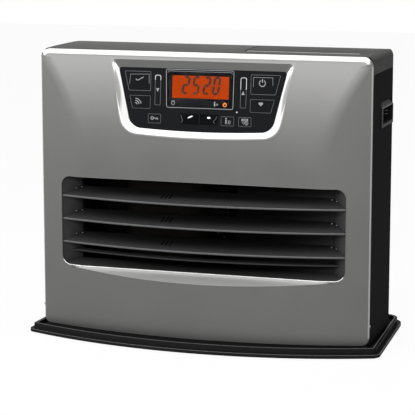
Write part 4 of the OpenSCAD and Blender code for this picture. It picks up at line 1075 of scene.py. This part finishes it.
def key_mark(key):
    """The generic picture on a key."""
    line, low, top = print_levels()
    u, v = middle(key_outline(key))
    bm = bmesh.new()

    def near(*points):
        return [(u + a, v + b) for a, b in points]

    def lines(points, width, closed=False):
        strip(bm, points, line * width, low, top, closed)

    def patch(points):
        slab(bm, points, low, top)

    if key == "check":
        lines([(-112.6, 64.5), (-111.4, 78.6), (-82.0, 79.4), (-81.6, 65.5)], 0.7)
        lines([(-103.0, 71.7), (-100.1, 69.8), (-97.8, 71.0), (-90.6, 75.0)], 1.6)
    elif key == "power":
        lines([(79.6, 65.5), (79.4, 79.6), (108.5, 79.6), (108.9, 68.0)], 0.7)
        lines(ring(93.0, 71.2, 4.6, 118, 422, 28), 1.7)
        lines([(93.0, 72.0), (93.0, 77.6)], 1.7)
    elif key == "comfort":
        turns = [2 * math.pi * i / 28 for i in range(28)]
        patch(near(*((-1 + 3.4 * math.sin(t) ** 3, 3.2 + 0.21 * (
            13 * math.cos(t) - 5 * math.cos(2 * t) - 2 * math.cos(3 * t) - math.cos(4 * t)))
            for t in turns)))
    elif key == "timer":
        for r in (3.6, 6.7, 9.8):
            lines(ring(u - 9, v - 4.5, r, 12, 86, 8), 1.7)
    elif key == "down":
        patch([(-68.0, 53.2), (-65.4, 59.0), (-70.6, 59.0)])
    elif key == "up":
        patch([(61.6, 53.4), (66.8, 53.4), (64.2, 58.8)])
    elif key == "lock":
        lines(ring(u - 3.5, v + 0.6, 2.0, steps=16), 1.5, True)
        lines(near((-1.4, 0.6), (5, 0.6), (5, -1.6)), 1.5)
        lines(near((2.6, 0.6), (2.6, -1.2)), 1.5)
    elif key == "vent":
        patch(ring(u - 2.2, v + 4, 1.2))
        patch(near(*oblong(-3.2, -1.2, -4, 2.4)))
        for a in (0.8, 3.4):
            lines(near((a, -4), (a + 1.2, -1.5), (a + 0.2, 1.2)), 1.3)
    elif key == "schedule":
        lines(near((-4.6, 1.8), (-4.6, 4.0), (4.2, 4.0), (4.2, 1.8)), 1.5, True)
        for a in (-4.4, -1.8, 0.8):
            lines(near((a, 0.6), (a + 2.8, -3.8)), 1.1)
        lines(ring(u + 2.6, v - 1.8, 2.4, steps=14), 1.1, True)
    on_key(key, "mark", bm, "mark_grey")


def key_lines(key):
    """The line round a key, and the brighter line round one end of the two long keys."""
    line, low, top = print_levels()
    large, long = key in ("power", "check"), key in ("down", "up")
    bm = bmesh.new()
    strip(bm, rounded(key_outline(key, 0.75), 1.8 if large else 1.3),
          line * (0.75 if large or long else 0.6), low, top, closed=True)
    on_key(key, "outline", bm, "outline_grey")
    if long:
        left, right, row = SPANS[key]
        head = ROWS[row][1]
        a, b, head, foot = left + 0.75, right - 0.75, head - 0.75, head - (18 if key == "up" else 8)
        bm = bmesh.new()
        strip(bm, [(a, foot), (a, head - 1.6), (a + 1.6, head), (b - 1.6, head), (b, head - 1.6), (b, foot)],
              line * 1.1, low, top + 0.03)
        on_key(key, "bright_line", bm, "line_white")


class HEATER_OT_keys(bpy.types.Operator):
    """Finish the eleven keys and print their generic marks"""

    bl_idname = "heater.keys"
    bl_label = "Keys"

    def execute(self, context):
        for look, width, keys in (("key_moulding", 0.00035, PLAIN),
                                  ("gloss_key", 0.0007, GLOSSY)):
            nodes = [key + "_button" for key in keys]
            dress(look, *nodes)
            soften(width, *nodes)
        for key in PLAIN:
            key_mark(key)
            key_lines(key)
        for key, (pip, rib) in GLOSSY.items():
            pip_and_rib(key, pip, rib)
        bm = bmesh.new()
        slab(bm, [(54.0, 26.6), (56.6, 26.6), (55.4, 29.4)], -0.02, 0.06)
        new_piece("panel_pointer", bm, "line_white")
        return {"FINISHED"}


def blade_lip(tag, z, set_back, reach, half, material):
    """Rounded front edge of a blade with a painted highlight, or of the vane under them in the blades'
    paint.
    """
    sheet(tag + "_lip", [
        [(x, bow_y(x, BOW_R - set_back) - 0.0002 * s - 0.00004, z + half * c) for c, s in half_round()]
        for x in spread(-reach, reach, 48)], material, smooth=180)


def blade_pins():
    """Small domed pins that hold the blades' rear corners."""
    bm = bmesh.new()
    for side in (1, -1):
        for z in BLADES.values():
            for k in range(2):
                at = Vector((side * (0.2045 - 0.008 * k), CORNER_Y + 0.006 + 0.004 * k,
                             z + 0.0098 + 0.0012 * k))
                verts = bmesh.ops.create_uvsphere(bm, u_segments=10, v_segments=6, radius=0.0013)["verts"]
                bmesh.ops.scale(bm, vec=(1, 1, 0.6), verts=verts)
                bmesh.ops.translate(bm, vec=at, verts=verts)
    new_piece("blade_pins", bm, "pin_steel", smooth=60)


class HEATER_OT_louvres(bpy.types.Operator):
    """Finish the louvre slats, the housing behind them and the burner"""

    bl_idname = "heater.louvres"
    bl_label = "Louvres"

    def execute(self, context):
        slats = [tag + "_slat" for tag in BLADES]
        dress("slat_paint", *slats, "bottom_vane")
        dress("duct_paint", "outlet_duct")
        dress("heat_tinted_steel", "combustion_chamber", "burner_pot", "flame_ring")
        dress("igniter_ceramic", "igniter")
        soften(0.0003, *slats)
        for tag, z in BLADES.items():
            blade_lip(tag, z, 0.002, 0.2205, 0.0012, "lip_grey")
        blade_lip("vane", 0.132, 0.016, 0.206, 0.0007, "slat_paint")
        blade_pins()
        return {"FINISHED"}


def filter_cloth():
    """Fine woven cloth stretched over the air filter's windows, moving with it."""
    lo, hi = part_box("air_filter")
    threads, margin, head_margin = 64, 0.003, 0.012
    xs = spread(lo[0] + margin, hi[0] - margin, threads)
    zs = spread(lo[2] + margin, hi[2] - head_margin, threads)
    bm = bmesh.new()
    for side in (1, -1):
        y = (lo[1] + hi[1]) / 2 + side * 0.00025
        skin(bm, [[(x, y + 0.00012 * (-1) ** (i + k), z) for i, x in enumerate(xs)]
                  for k, z in enumerate(zs)])
    new_piece("filter_cloth", bm, "gauze", "filter")


class HEATER_OT_inside(bpy.types.Operator):
    """Finish the fan, the fuel side, the sheet metal and the fastenings"""

    bl_idname = "heater.inside"
    bl_label = "Inside and back"

    def execute(self, context):
        dress("zinc_sheet", "motor_bracket", "blower_housing", "air_box", "fuel_sump", "fuel_pump",
              "fuel_tank")
        # Painted shade: the heat shield and the tank's bulkhead are zinc sheet darkened to show them in
        # shadow
        dress("dull_sheet", "heat_shield", "tank_bulkhead")
        dress("bright_aluminium", "convection_fan", "blower_impeller")
        dress("ground_steel", "fan_shaft", "lid_hinge_pins")
        dress("screw_steel", "case_screws")
        dress("motor_can", "fan_motor", "blower_motor")
        dress("drawn_copper", "fuel_pipe")
        dress("cream_moulding", "fuel_strainer", "room_sensor")
        dress("black_moulding", "tank_cap", "tank_handle", "fan_guard", "air_filter")
        dress("clear_window", "tank_gauge")
        soften(0.0006, "fan_guard", "tank_handle", "tank_cap")
        filter_cloth()
        return {"FINISHED"}


class HEATER_PT_panel(bpy.types.Panel):
    """Lists the heater's operators"""

    bl_label = "Paraffin heater"
    bl_space_type = "VIEW_3D"
    bl_region_type = "UI"
    bl_category = "Heater"

    def draw(self, context):
        for group in (context.scene.heater_sizes, context.scene.heater_colours):
            for name in group.__annotations__:
                self.layout.prop(group, name)
        for operator in OPERATORS:
            self.layout.operator(operator.bl_idname)


OPERATORS = (HEATER_OT_stage, HEATER_OT_case, HEATER_OT_base, HEATER_OT_control_panel, HEATER_OT_keys,
             HEATER_OT_louvres, HEATER_OT_inside)
CLASSES = (HeaterSizes, HeaterColours, *OPERATORS, HEATER_PT_panel)


def register():
    for cls in CLASSES:
        bpy.utils.register_class(cls)
    bpy.types.Scene.heater_sizes = PointerProperty(type=HeaterSizes)
    bpy.types.Scene.heater_colours = PointerProperty(type=HeaterColours)


def unregister():
    del bpy.types.Scene.heater_colours
    del bpy.types.Scene.heater_sizes
    for cls in reversed(CLASSES):
        bpy.utils.unregister_class(cls)


def main():
    register()
    bpy.ops.heater.stage()
    bpy.ops.heater.case()
    bpy.ops.heater.base()
    bpy.ops.heater.control_panel()
    bpy.ops.heater.keys()
    bpy.ops.heater.louvres()
    bpy.ops.heater.inside()


if __name__ == "__main__":
    main()
